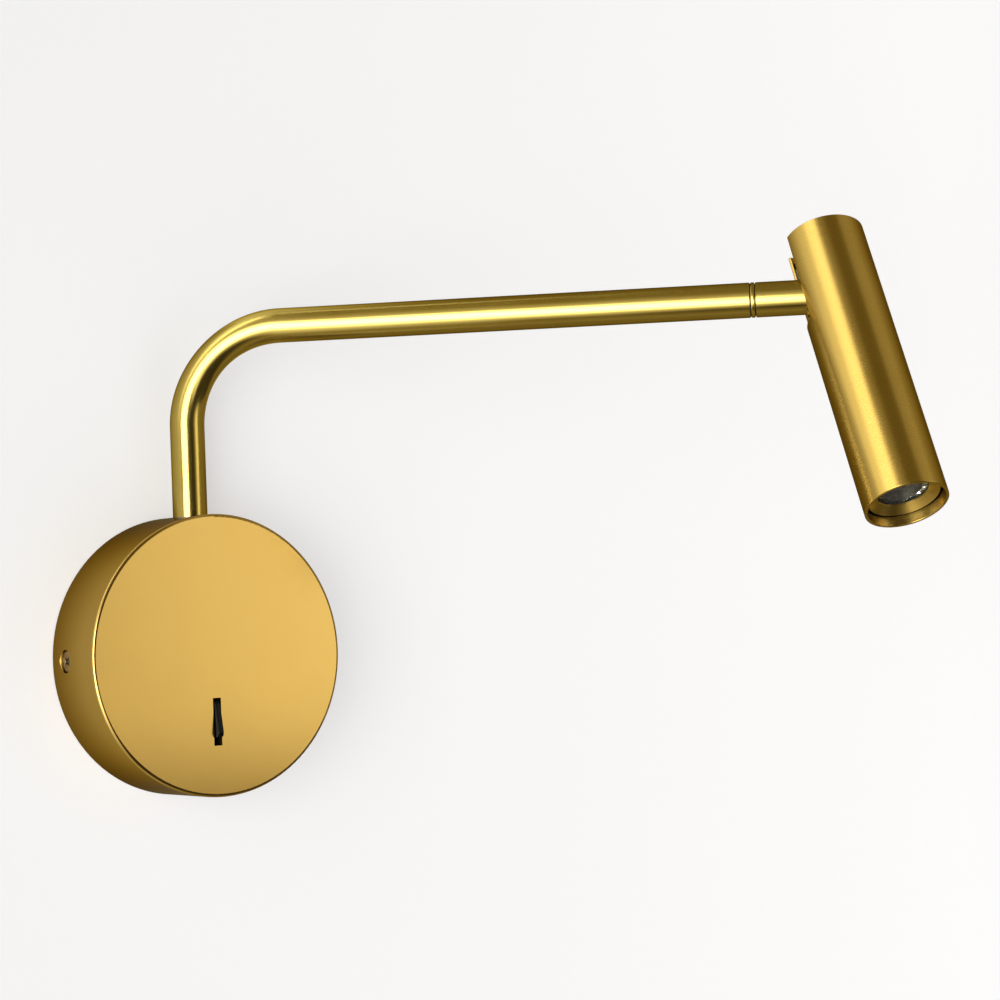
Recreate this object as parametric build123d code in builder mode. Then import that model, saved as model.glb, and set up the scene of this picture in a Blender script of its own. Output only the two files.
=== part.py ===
from build123d import *
from math import asin, cos, degrees, hypot, radians, sin, sqrt
import os

# Bedside wall reading lamp, in millimetres.
# The wall is the XZ plane, the lamp stands out from it along -Y, and +Z is up.
# The origin is the middle of the wall-screw pattern, on the wall.

# ---------------------------------------------------------------- driving dimensions
# canopy: the round box on the wall
canopy_diameter = 100.0
canopy_depth = 30.0
canopy_wall = 1.2
canopy_edge_radius = 1.2

# arm: one bent tube, upright stem first and then the level reach
tube_diameter = 12.4
tube_wall = 1.0
stem_offset = 12.5          # stem axis from the wall
bend_radius = 35.0          # centreline
arm_height = 117.0          # axis of the reach above the canopy's centre
arm_reach = 235.0           # stem axis to head axis

# head: a slotted tube
head_diameter = 29.0
head_wall = 1.1
head_rear = 24.5            # tilt pivot to the rear end
head_front = 86.5           # tilt pivot to the lens end
head_edge_radius = 0.4

# pose in which the lamp is drawn, in degrees
arm_swing = 43.4            # reach turned out from the wall
head_roll = 26.8            # head rolled about the reach, from straight down
head_tilt = 77.7            # between the reach and the head's axis

# travel of the two stops that are real pieces, in degrees
swing_least = 5.0           # reach turned out from the wall, to one side
swing_most = 175.0          # and to the other
roll_travel = 165.0         # each way from straight down

# clearances
running_fit = 0.05          # radial, between pieces that turn in each other
free_gap = 0.3              # between pieces that move past each other
slide_fit = 0.05            # radial, between pieces that are slid together and fixed
neck_gap = 0.2              # between the slot's end and the neck at the end of the tilt

# wall plate
plate_thickness = 1.5
strap_width = 16.0
ear_length = 16.0
hub_radius = 13.0
slot_distance = 62.0
slot_width = 4.6
slot_length = 14.0
tab_width = 26.0
tab_drop = 26.5
tab_from_rim = 24.8         # middle of the tab, in from the inside of the canopy's rim

# side screws, M4, one each side of the canopy
side_screw_diameter = 4.0
side_screw_head = 7.4
side_screw_hole = 8.2
side_screw_from_wall = 9.5
side_screw_length = 8.0
recess_arm = 3.4
recess_width = 0.8
recess_depth = 1.1

# cable grommet
grommet_radius = 7.0
grommet_flange = 8.6
grommet_flange_thickness = 1.2
grommet_bore = 5.0
grommet_length = 5.0

# terminal block
block_length = 24.0
block_height = 15.0
block_depth = 13.0
pole_pitch = 8.0
block_top = -10.0
channel_radius = 2.6
channel_depth = 6.5         # channel axis from the back of the block
clamp_bore = 1.5
clamp_length = 13.0
pole_screw_radius = 1.5
pole_screw_distance = 8.0
pole_screw_sunk = 0.6
pole_screw_slot_length = 2.7
pole_screw_slot_width = 0.5
pole_screw_slot_depth = 0.7
block_corner = 0.8
block_screw_radius = 1.25
block_screw_head = 2.3
block_screw_head_height = 1.4

# earth connection
earth_x = 14.0
earth_z = -4.0
earth_screw_radius = 2.0
earth_head_radius = 3.6
earth_head_height = 2.5
earth_stud_z = -16.0
earth_stud_height = 5.0

# swivel under the top of the canopy
saddle_width = 20.0
saddle_height = 11.8
saddle_floor = 4.0
bush_wall = 1.25
thrust_washer = 0.4
foot_flange = 0.6
foot_insert = 10.0
spigot_radius = 5.0
spigot_bore = 3.0
spigot_below_nut = 0.75
stop_plate = 1.2
stop_hub_radius = 6.8
stop_tab_radius = 10.0
stop_peg_radius = 1.25
stop_peg_orbit = 8.6
stop_peg_height = 1.4
stop_margin = 1.5           # degrees left between peg and tab at each end
spring_washer = 1.0
spring_washer_radius = 7.0
lock_nut_flats = 14.0
lock_nut_height = 5.0

# rocker switch
switch_x = -1.8
switch_from_rim = 26.6      # middle of the switch, up from the canopy's lowest point
switch_slot_width = 3.2
switch_slot_length = 16.8
switch_width = 10.0
switch_length = 20.0
switch_depth = 13.0
switch_cavity_width = 3.0
switch_cavity_length = 18.4
switch_cavity_depth = 11.3
flange_length = 33.0
flange_thickness = 1.5
stud_distance = 26.0
stud_radius = 1.5
stud_length = 6.5
stud_nut_flats = 5.5
stud_nut_height = 2.4
tag_distance = 8.2
tag_width = 3.0
tag_thickness = 0.8
tag_length = 5.0
rocker_thickness = 2.3
rocker_length = 13.8
rocker_corner = 2.0
rocker_chamfer = 0.4
rocker_stands_out = 1.7     # at mid travel
rocker_swing = 11.5         # degrees each way from mid travel
rocker_waist = 3.7
rocker_root = 5.6
rocker_tail = 3.8
rocker_pivot_depth = 5.5    # behind the canopy's face
rocker_pin_radius = 0.8
rocker_pin_length = 9.0

# driver
driver_length = 54.0
driver_height = 16.0
driver_depth = 16.0
driver_wall = 1.5
driver_below_stem = 7.5     # top of the driver below the stem's threaded end
driver_pad = 0.8
driver_edge_radius = 1.0
lid_thickness = 1.5
board_thickness = 1.6
board_margin = 0.4
board_height_in_case = 3.0
pillar_radius = 1.0
pillar_inset = 2.0
transformer_length = 12.0
transformer_width = 9.0
transformer_height = 8.0
transformer_x = 6.0
capacitor_radius = 2.5
capacitor_x = -4.0
capacitor_above = 1.5       # above the middle of the board
capacitor_height = 6.0
inlet_capacitor_length = 4.0
inlet_capacitor_width = 7.0
inlet_capacitor_from_end = 4.1

# leads
lead_diameter = 2.0
arm_lead_diameter = 2.6
lead_entry_gap = 0.2        # radial, where a lead goes into the driver
wide_arc = 4.0
tight_arc = 2.4
neutral_arc = 3.5
neutral_last_arc = 2.5
lamp_arcs = (3.8, 5.0, 3.4)
behind_tags = 6.0           # room behind the ends of the tags
live_loop = 5.5             # below the lower tag
switched_step = 2.0
switched_rise = 9.0         # above the upper tag
switched_turn = 7.0         # below the driver
neutral_loop = 6.0          # below the terminal block
neutral_aside = 4.0
neutral_before_block = 5.0
neutral_bend = 12.0         # below the driver
neutral_turn = 6.0          # below the driver
earth_bend_back = 4.0       # towards the wall from the middle of the depth
earth_bend_front = 2.0      # towards the room from the middle of the depth
lamp_loop = 6.0             # past the end of the driver
lamp_drop = 4.4             # below the stem's threaded end

# swivel between the arm and the knuckle
ring_gap = 0.4              # dark line on the arm's side
ring_thickness = 1.3
neck_length = 0.25          # dark line on the knuckle's side
neck_radius = 5.6
ring_to_pivot = 29.65       # knuckle's full diameter starts here
end_plug_length = 9.0
swivel_screw_radius = 3.0
swivel_screw_bore = 1.7
swivel_screw_grip = 6.0
swivel_washer = 0.7
swivel_washer_radius = 4.6
swivel_nut_flats = 8.0
swivel_nut_height = 3.0
swivel_screw_tail = 0.4
ring_washer_radius = 3.9
gasket_outer_radius = 5.85
gasket_inner_radius = 5.3
washer_slack = 0.04
roll_peg_radius = 0.5
roll_peg_orbit = 4.6
roll_groove_depth = 0.8
groove_margin = 0.15        # radial, between the peg and its groove
roll_peg_reach = 0.6

# knuckle and tilt joint
tongue_thickness = 8.0
shoulder_radius = 6.9       # full diameter stops here, from the pivot
lead_slot = 3.4
knuckle_chamfer = 0.3
pivot_pin_radius = 2.0
pivot_pin_inset = 0.2
tilt_washer = 0.5
tilt_washer_gap = 0.05
boss_root = 1.0             # how far the bosses are sunk in the core
eye_clearance = 0.4
fork_depth = 4.0            # the fork opens this far before the pivot
lead_parting = 2.0          # each lead stops this far from the pivot
slot_corner = 2.5
tilt_past_square = 11.5     # degrees that the head tilts past square to the arm

# head parts, placed back from the lens end
bezel_recess = 3.3
bezel_outer_radius = 12.4
bezel_inner_radius = 9.0
bezel_cone_depth = 2.0
bezel_seat = 1.4
bezel_seat_back = 5.2
lens_front_radius = 10.4
lens_rear_radius = 5.6
lens_height = 10.4
lens_rim = 1.4
lens_pocket_radius = 3.6
lens_pocket_depth = 4.4
lens_set_back = 0.5
lens_flange = 0.8
holder_bore_gap = 0.2
holder_outer_gap = 0.2
emitter_radius = 3.2
emitter_thickness = 1.0
emitter_gap = 0.3
led_board_radius = 11.6
led_board_thickness = 1.2
board_screw_radius = 1.0
board_screw_head = 1.9
board_screw_head_height = 0.9
board_screw_orbit = 7.6
board_screw_length = 6.0
core_rear = 19.0            # pivot to the rear end of the core
core_bore = 2.2
core_groove_width = 3.0
core_groove_depth = 3.0
core_groove_pitch = 6.0
core_groove_count = 5
core_groove_start = 37.0    # pivot to the first groove
cap_thickness = 2.5
cap_recess = 0.3
grub_radius = 1.5
grub_length = 6.0
grub_from_pivot = 30.0
grub_socket = 1.5
grub_socket_depth = 1.8

# ---------------------------------------------------------------- derived places
canopy_radius = canopy_diameter / 2
inner_radius = canopy_radius - canopy_wall
inside_depth = canopy_depth - canopy_wall
tube_radius = tube_diameter / 2
tube_bore = tube_radius - tube_wall
head_radius = head_diameter / 2
head_bore = head_radius - head_wall

wall = Plane.XZ                                  # normal points into the room
face_inside = wall.offset(inside_depth)

swing = radians(arm_swing)
roll = radians(head_roll)
tilt = radians(head_tilt)
reach_way = Vector(cos(swing), -sin(swing), 0)
outward = Vector(-sin(swing), -cos(swing), 0)    # square to the reach, away from the wall
hang_way = Vector(0, 0, -1) * cos(roll) + outward * sin(roll)
head_way = reach_way * cos(tilt) + hang_way * sin(tilt)
tilt_way = reach_way.cross(head_way).normalized()
slot_way = tilt_way.cross(head_way).normalized()  # from the head's axis towards the arm

stem_foot = Vector(0, -stem_offset, 0)
arm_corner = Vector(0, -stem_offset, arm_height)
pivot = arm_corner + reach_way * arm_reach

stem_plane = Plane(origin=stem_foot, x_dir=(1, 0, 0), z_dir=(0, 0, 1))
reach_plane = Plane(origin=arm_corner, x_dir=tilt_way, z_dir=reach_way)
pivot_plane = Plane(origin=pivot, x_dir=slot_way, z_dir=tilt_way)
head_plane = Plane(origin=pivot, x_dir=slot_way, z_dir=head_way)
head_section = Plane(origin=pivot, x_dir=slot_way, z_dir=-tilt_way)
head_axis = Axis(pivot, head_way)

# heights on the stem
saddle_bottom = inner_radius - saddle_height
floor_top = saddle_bottom + saddle_floor
flange_bottom = floor_top + thrust_washer
tube_bottom = flange_bottom + foot_flange
bush_outer = tube_radius + running_fit + bush_wall
bush_top = sqrt(inner_radius**2 - bush_outer**2) - free_gap
stop_plate_top = saddle_bottom - running_fit
spring_washer_top = stop_plate_top - stop_plate
lock_nut_top = spring_washer_top - spring_washer
lock_nut_bottom = lock_nut_top - lock_nut_height
spigot_bottom = lock_nut_bottom - spigot_below_nut

# places in the lower half of the canopy
tab_centre = tab_from_rim - inner_radius
switch_z = switch_from_rim - canopy_radius
driver_lower = spigot_bottom - driver_below_stem - driver_height

# distances along the reach
knuckle_start = arm_reach - ring_to_pivot
ring_end = knuckle_start - neck_length
ring_start = ring_end - ring_thickness
tube_end = ring_start - ring_gap
plug_start = tube_end - end_plug_length
swivel_washer_start = plug_start - swivel_washer
swivel_nut_start = swivel_washer_start - swivel_nut_height
swivel_screw_start = swivel_nut_start - swivel_screw_tail

# the head's slot: the neck of the knuckle swings in it
slot_half = tube_radius + free_gap
square_limit = radians(tilt_past_square)
slot_end = (head_radius * sin(square_limit) + tube_radius) / cos(square_limit) + neck_gap
cheek = tongue_thickness / 2
boss_face = cheek + tilt_washer + tilt_washer_gap
core_radius = head_bore - slide_fit

# distances along the head's axis
bezel_front = head_front - bezel_recess
lens_front = bezel_front - bezel_cone_depth - lens_set_back
emitter_front = lens_front - lens_height - emitter_gap
board_front = emitter_front - emitter_thickness
core_front = board_front - led_board_thickness
lens_rim_back = lens_front - lens_rim
bezel_back = bezel_front - bezel_seat_back


# ---------------------------------------------------------------- canopy
ear_half = strap_width / 2
ear_face = sqrt(inner_radius**2 - ear_half**2) - free_gap
side_plane = Plane(origin=(0, -side_screw_from_wall, 0), x_dir=(0, 1, 0), z_dir=(1, 0, 0))

with BuildPart() as canopy_cover:
    with BuildSketch(wall):
        Circle(canopy_radius)
    extrude(amount=canopy_depth)
    fillet(canopy_cover.faces().sort_by(Axis.Y)[0].edges(), canopy_edge_radius)
    with BuildSketch(wall):
        Circle(inner_radius)
    extrude(amount=inside_depth, mode=Mode.SUBTRACT)
    # hole for the stem, in the top of the rim
    with BuildSketch(stem_plane.offset(floor_top)):
        Circle(tube_radius + free_gap)
    extrude(amount=canopy_radius, mode=Mode.SUBTRACT)
    # slot for the rocker, in the face
    with BuildSketch(face_inside):
        with Locations((switch_x, switch_z)):
            Rectangle(switch_slot_width, switch_slot_length)
    extrude(amount=2 * canopy_wall, mode=Mode.SUBTRACT)
    # holes for the heads of the side screws
    with BuildSketch(side_plane):
        Circle(side_screw_hole / 2)
    extrude(amount=2 * canopy_radius, both=True, mode=Mode.SUBTRACT)

# ---------------------------------------------------------------- wall plate
with BuildPart() as wall_plate:
    with BuildSketch(wall):
        Rectangle(2 * ear_face, strap_width)
        Circle(hub_radius)
        with Locations((tab_centre, -tab_drop / 2)):
            Rectangle(tab_width, tab_drop)
        with GridLocations(slot_distance, 0, 2, 1):
            SlotOverall(slot_length, slot_width, mode=Mode.SUBTRACT)
        Circle(grommet_radius, mode=Mode.SUBTRACT)
        with Locations((earth_x, earth_z)):
            Circle(earth_screw_radius, mode=Mode.SUBTRACT)
        with Locations((tab_centre - pole_pitch / 2, block_top - block_height / 2)):
            Circle(block_screw_radius, mode=Mode.SUBTRACT)
    extrude(amount=plate_thickness)
    with BuildSketch(wall):
        with GridLocations(2 * ear_face - plate_thickness, 0, 2, 1):
            Rectangle(plate_thickness, strap_width)
    extrude(amount=ear_length)
    with BuildSketch(side_plane):
        Circle(side_screw_diameter / 2)
    extrude(amount=2 * canopy_radius, both=True, mode=Mode.SUBTRACT)

# the heads fill the canopy's holes and stand flush with its rim
with BuildPart() as side_screws:
    for side in (-1, 1):
        seat_middle = (side * ear_face, -side_screw_from_wall, 0)
        seat = Plane(origin=seat_middle, x_dir=(0, 1, 0), z_dir=(side, 0, 0))
        head_height = canopy_radius - ear_face - slide_fit
        with BuildSketch(seat):
            Circle(side_screw_head / 2)
        extrude(amount=head_height)
        with BuildSketch(seat):
            Circle(side_screw_diameter / 2)
        extrude(amount=-side_screw_length)
        with BuildSketch(seat.offset(head_height)):
            with Locations(Rotation(0, 0, 45)):
                Rectangle(recess_arm, recess_width)
                Rectangle(recess_width, recess_arm)
        extrude(amount=-recess_depth, mode=Mode.SUBTRACT)

with BuildPart() as cable_grommet:
    with BuildSketch(wall):
        Circle(grommet_radius)
    extrude(amount=grommet_length)
    with BuildSketch(wall.offset(plate_thickness)):
        Circle(grommet_flange)
    extrude(amount=grommet_flange_thickness)
    with BuildSketch(wall):
        Circle(grommet_bore)
    extrude(amount=grommet_length, mode=Mode.SUBTRACT)

# ---------------------------------------------------------------- terminal block
block_middle = block_top - block_height / 2
block_face = plate_thickness + block_depth
channel_from_wall = plate_thickness + channel_depth
channel_middle = (tab_centre, -channel_from_wall, block_middle)
channel_plane = Plane(origin=channel_middle, x_dir=(1, 0, 0), z_dir=(0, 0, 1))

with BuildPart() as terminal_block:
    with BuildSketch(wall.offset(plate_thickness)):
        with Locations((tab_centre, block_middle)):
            Rectangle(block_length, block_height)
    extrude(amount=block_depth)
    fillet(terminal_block.edges().filter_by(Axis.Y), block_corner)
    with BuildSketch(channel_plane):
        with GridLocations(pole_pitch, 0, 3, 1):
            Circle(channel_radius)
    extrude(amount=block_height, both=True, mode=Mode.SUBTRACT)
    with BuildSketch(wall.offset(block_face)):
        with Locations((tab_centre, block_middle)):
            with GridLocations(pole_pitch, pole_screw_distance, 3, 2):
                Circle(pole_screw_radius)
    extrude(amount=-channel_depth, mode=Mode.SUBTRACT)
    with BuildSketch(wall.offset(block_face)):
        with Locations((tab_centre - pole_pitch / 2, block_middle)):
            Circle(block_screw_radius)
    extrude(amount=-block_depth, mode=Mode.SUBTRACT)

with BuildPart() as terminal_clamps:
    with BuildSketch(channel_plane.offset(-clamp_length / 2)):
        with GridLocations(pole_pitch, 0, 3, 1):
            Circle(channel_radius)
            Circle(clamp_bore, mode=Mode.SUBTRACT)
    extrude(amount=clamp_length)
    with BuildSketch(wall.offset(channel_from_wall)):
        with Locations((tab_centre, block_middle)):
            with GridLocations(pole_pitch, pole_screw_distance, 3, 2):
                Circle(pole_screw_radius)
    extrude(amount=2 * channel_radius, mode=Mode.SUBTRACT)

with BuildPart() as terminal_screws:
    with BuildSketch(wall.offset(channel_from_wall + clamp_bore)):
        with Locations((tab_centre, block_middle)):
            with GridLocations(pole_pitch, pole_screw_distance, 3, 2):
                Circle(pole_screw_radius)
    extrude(amount=block_depth - channel_depth - clamp_bore - pole_screw_sunk)
    with BuildSketch(wall.offset(block_face - pole_screw_sunk)):
        with Locations((tab_centre, block_middle)):
            with GridLocations(pole_pitch, pole_screw_distance, 3, 2):
                Rectangle(pole_screw_slot_length, pole_screw_slot_width)
    extrude(amount=-pole_screw_slot_depth, mode=Mode.SUBTRACT)

with BuildPart() as block_screw:
    with BuildSketch(wall):
        with Locations((tab_centre - pole_pitch / 2, block_middle)):
            Circle(block_screw_radius)
    extrude(amount=block_face)
    with BuildSketch(wall.offset(block_face)):
        with Locations((tab_centre - pole_pitch / 2, block_middle)):
            Circle(block_screw_head)
    extrude(amount=block_screw_head_height)

# ---------------------------------------------------------------- earth connection
with BuildPart() as earth_screw:
    with BuildSketch(wall):
        with Locations((earth_x, earth_z)):
            Circle(earth_screw_radius)
    extrude(amount=plate_thickness)
    with BuildSketch(wall.offset(plate_thickness)):
        with Locations((earth_x, earth_z)):
            Circle(earth_head_radius)
    extrude(amount=earth_head_height)

with BuildPart() as earth_stud:
    with BuildSketch(face_inside):
        with Locations((earth_x, earth_stud_z)):
            Circle(earth_screw_radius)
    extrude(amount=-earth_stud_height)

# ---------------------------------------------------------------- swivel in the canopy
with BuildPart() as swivel_saddle:
    with BuildSketch(stem_plane.offset(saddle_bottom)):
        Rectangle(saddle_width, saddle_width)
    extrude(amount=saddle_height + canopy_wall)
    with BuildSketch(wall):
        Circle(inner_radius)
    extrude(amount=canopy_depth, mode=Mode.INTERSECT)
    with BuildSketch(stem_plane.offset(floor_top)):
        Circle(bush_outer)
    extrude(amount=saddle_height, mode=Mode.SUBTRACT)
    with BuildSketch(stem_plane.offset(saddle_bottom)):
        Circle(spigot_radius + running_fit)
    extrude(amount=saddle_floor, mode=Mode.SUBTRACT)

with BuildPart() as swivel_bush:
    with BuildSketch(stem_plane.offset(floor_top)):
        Circle(bush_outer)
        Circle(tube_radius + running_fit, mode=Mode.SUBTRACT)
    extrude(amount=bush_top - floor_top)

# the peg hangs on the wall's side of the stem
with BuildPart() as stop_peg:
    with BuildSketch(stem_plane.offset(saddle_bottom)):
        with Locations((0, stop_peg_orbit)):
            Circle(stop_peg_radius)
    extrude(amount=-stop_peg_height)

# ---------------------------------------------------------------- switch
switch_back = inside_depth - switch_depth
rocker_pivot_from_wall = canopy_depth - rocker_pivot_depth
rocker_pivot = Vector(switch_x, -rocker_pivot_from_wall, switch_z)
rocker_plane = Plane(origin=rocker_pivot, x_dir=(0, 0, 1), z_dir=(1, 0, 0))

with BuildPart() as switch_body:
    with BuildSketch(face_inside):
        with Locations((switch_x, switch_z)):
            Rectangle(switch_width, flange_length)
    extrude(amount=-flange_thickness)
    with BuildSketch(face_inside):
        with Locations((switch_x, switch_z)):
            Rectangle(switch_width, switch_length)
    extrude(amount=-switch_depth)
    with BuildSketch(face_inside):
        with Locations((switch_x, switch_z)):
            Rectangle(switch_cavity_width, switch_cavity_length)
            with GridLocations(0, stud_distance, 1, 2):
                Circle(stud_radius)
    extrude(amount=-switch_cavity_depth, mode=Mode.SUBTRACT)
    with BuildSketch(rocker_plane):
        Circle(rocker_pin_radius + running_fit)
    extrude(amount=rocker_pin_length / 2 + free_gap, both=True, mode=Mode.SUBTRACT)

with BuildPart() as switch_studs:
    with BuildSketch(face_inside):
        with Locations((switch_x, switch_z)):
            with GridLocations(0, stud_distance, 1, 2):
                Circle(stud_radius)
    extrude(amount=-stud_length)

with BuildPart() as switch_nuts:
    with BuildSketch(face_inside.offset(-flange_thickness)):
        with Locations((switch_x, switch_z)):
            with GridLocations(0, stud_distance, 1, 2):
                RegularPolygon(stud_nut_flats / 2, 6, major_radius=False)
                Circle(stud_radius, mode=Mode.SUBTRACT)
    extrude(amount=-stud_nut_height)

with BuildPart() as switch_tags:
    with BuildSketch(wall.offset(switch_back)):
        with Locations((switch_x, switch_z)):
            with GridLocations(0, tag_distance, 1, 2):
                Rectangle(tag_width, tag_thickness)
    extrude(amount=-tag_length)

# the rocker is drawn tipped to one end of its travel, its lower end out
tip = radians(rocker_swing)
tipped = Plane(origin=rocker_pivot, x_dir=(0, sin(tip), cos(tip)), z_dir=(1, 0, 0))
rocker_out = Axis(rocker_pivot, tipped.y_dir)
rocker_half = rocker_length / 2
rocker_top = rocker_pivot_depth + rocker_stands_out

with BuildPart() as rocker:
    with BuildSketch(tipped) as rocker_outline:
        Polygon(
            (-rocker_half, rocker_top),
            (-rocker_half, rocker_waist),
            (-rocker_root / 2, -rocker_tail),
            (rocker_root / 2, -rocker_tail),
            (rocker_half, rocker_waist),
            (rocker_half, rocker_top),
            align=None,
        )
        fillet(rocker_outline.vertices().sort_by(Axis.Y)[-2:], rocker_corner)
    extrude(amount=rocker_thickness / 2, both=True)
    chamfer(rocker.faces().sort_by(rocker_out)[-1].edges().sort_by(SortBy.LENGTH)[-2:], rocker_chamfer)
    with BuildSketch(tipped):
        Circle(rocker_pin_radius)
    extrude(amount=rocker_thickness, both=True, mode=Mode.SUBTRACT)

with BuildPart() as rocker_pin:
    with BuildSketch(rocker_plane):
        Circle(rocker_pin_radius)
    extrude(amount=rocker_pin_length / 2, both=True)

# ---------------------------------------------------------------- driver
case_middle = driver_lower + driver_height / 2
case_front = inside_depth - driver_pad
case_back = case_front - driver_depth
case_room = driver_depth - driver_wall
mains_entries = (-16.0, -10.0)      # where the two mains leads enter, along the case
entry_from_wall = case_front - driver_depth / 2
outlet_radius = arm_lead_diameter / 2 + lead_entry_gap
inlet_radius = lead_diameter / 2 + lead_entry_gap

with BuildPart() as driver_case:
    with BuildSketch(wall.offset(case_back)):
        with Locations((0, case_middle)):
            Rectangle(driver_length, driver_height)
    extrude(amount=driver_depth)
    fillet(driver_case.edges().filter_by(Axis.Y), driver_edge_radius)
    with BuildSketch(wall.offset(case_back)):
        with Locations((0, case_middle)):
            Rectangle(driver_length - 2 * driver_wall, driver_height - 2 * driver_wall)
    extrude(amount=case_room, mode=Mode.SUBTRACT)
    # mains leads come in through the underside, the lamp's lead leaves at one end
    with BuildSketch(Plane.XY.offset(driver_lower)):
        with Locations(*[(entry, -entry_from_wall) for entry in mains_entries]):
            Circle(inlet_radius)
    extrude(amount=driver_wall, mode=Mode.SUBTRACT)
    with BuildSketch(Plane.YZ.offset(driver_length / 2)):
        with Locations((-entry_from_wall, case_middle)):
            Circle(outlet_radius)
    extrude(amount=-driver_wall, mode=Mode.SUBTRACT)

with BuildPart() as driver_lid:
    with BuildSketch(wall.offset(case_back)):
        with Locations((0, case_middle)):
            Rectangle(driver_length, driver_height)
    extrude(amount=-lid_thickness)
    fillet(driver_lid.edges().filter_by(Axis.Y), driver_edge_radius)

board_face = case_front - driver_wall - board_height_in_case
with BuildPart() as driver_board:
    board_length = driver_length - 2 * (driver_wall + board_margin)
    board_width = driver_height - 2 * (driver_wall + board_margin)
    with BuildSketch(wall.offset(board_face)):
        with Locations((0, case_middle)):
            Rectangle(board_length, board_width)
    extrude(amount=board_thickness)
    # transformer, storage capacitor and inlet capacitor stand on the board's wall side
    with BuildSketch(wall.offset(board_face)):
        with Locations((transformer_x, case_middle)):
            Rectangle(transformer_length, transformer_width)
    extrude(amount=-transformer_height)
    with BuildSketch(wall.offset(board_face)):
        with Locations((capacitor_x, case_middle + capacitor_above)):
            Circle(capacitor_radius)
        with Locations((inlet_capacitor_from_end - board_length / 2, case_middle)):
            Rectangle(inlet_capacitor_length, inlet_capacitor_width)
    extrude(amount=-capacitor_height)
    # pillars that keep the board off the case
    with BuildSketch(wall.offset(board_face + board_thickness)):
        with Locations((0, case_middle)):
            with GridLocations(board_length - 2 * pillar_inset, board_width - 2 * pillar_inset, 2, 2):
                Circle(pillar_radius)
    extrude(amount=board_height_in_case - board_thickness)

with BuildPart() as driver_pad_foam:
    with BuildSketch(wall.offset(case_front)):
        with Locations((0, case_middle)):
            Rectangle(driver_length - 4 * driver_wall, driver_height - 4 * driver_wall)
    extrude(amount=driver_pad)

# ---------------------------------------------------------------- arm
with BuildPart() as arm_tube:
    with BuildLine() as arm_line:
        stem_top = (0, -stem_offset, arm_height - bend_radius)
        stem = Line((0, -stem_offset, tube_bottom), stem_top)
        bend = TangentArc(stem_top, arm_corner + reach_way * bend_radius, tangent=(0, 0, 1))
        Line(bend @ 1, arm_corner + reach_way * tube_end)
    with BuildSketch(stem_plane.offset(tube_bottom)):
        Circle(tube_radius)
        Circle(tube_bore, mode=Mode.SUBTRACT)
    sweep(path=arm_line.line)

# hollow threaded foot, pressed into the tube
with BuildPart() as arm_foot:
    with BuildSketch(stem_plane.offset(flange_bottom)):
        Circle(tube_radius)
    extrude(amount=foot_flange)
    with BuildSketch(stem_plane.offset(tube_bottom)):
        Circle(tube_bore)
    extrude(amount=foot_insert)
    with BuildSketch(stem_plane.offset(spigot_bottom)):
        Circle(spigot_radius)
    extrude(amount=flange_bottom - spigot_bottom)
    with BuildSketch(stem_plane.offset(spigot_bottom)):
        Circle(spigot_bore)
    extrude(amount=tube_bottom + foot_insert - spigot_bottom, mode=Mode.SUBTRACT)

with BuildPart() as foot_washer:
    with BuildSketch(stem_plane.offset(floor_top)):
        Circle(tube_radius)
        Circle(spigot_radius, mode=Mode.SUBTRACT)
    extrude(amount=thrust_washer)

# stop plate: its wide tab meets the peg at both ends of the swing
peg_half = degrees(asin(stop_peg_radius / stop_peg_orbit)) + stop_margin
tab_end = 90 - peg_half - (arm_swing - swing_least)
tab_start = 90 - 360 + peg_half + (swing_most - arm_swing)

with BuildPart() as stop_washer:
    with BuildSketch(stem_plane.offset(stop_plate_top)):
        with BuildLine():
            outer = CenterArc((0, 0), stop_tab_radius, tab_start, tab_end - tab_start)
            Line(outer @ 1, (0, 0))
            Line((0, 0), outer @ 0)
        make_face()
        Circle(stop_hub_radius)
        Circle(spigot_radius, mode=Mode.SUBTRACT)
    extrude(amount=-stop_plate)

with BuildPart() as foot_spring_washer:
    with BuildSketch(stem_plane.offset(spring_washer_top)):
        Circle(spring_washer_radius)
        Circle(spigot_radius, mode=Mode.SUBTRACT)
    extrude(amount=-spring_washer)

with BuildPart() as foot_nut:
    with BuildSketch(stem_plane.offset(lock_nut_top)):
        RegularPolygon(lock_nut_flats / 2, 6, major_radius=False)
        Circle(spigot_radius, mode=Mode.SUBTRACT)
    extrude(amount=-lock_nut_height)

with BuildPart() as arm_end_plug:
    with BuildSketch(reach_plane.offset(plug_start)):
        Circle(tube_bore)
        Circle(swivel_screw_radius + running_fit, mode=Mode.SUBTRACT)
    extrude(amount=end_plug_length)

# ---------------------------------------------------------------- swivel at the end of the arm
# The roll peg is fixed in the plug and runs in a groove of the ring.
peg_plane = Plane(origin=arm_corner + reach_way * tube_end, x_dir=(0, 0, 1), z_dir=reach_way)
ring_plane = Plane(origin=arm_corner + reach_way * ring_start, x_dir=hang_way, z_dir=reach_way)
bridge_half = 180 - roll_travel - degrees(asin(roll_peg_radius / roll_peg_orbit)) - stop_margin

with BuildPart() as roll_peg:
    with BuildSketch(peg_plane):
        with Locations((roll_peg_orbit, 0)):
            Circle(roll_peg_radius)
    extrude(amount=ring_gap + roll_peg_reach)

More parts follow.
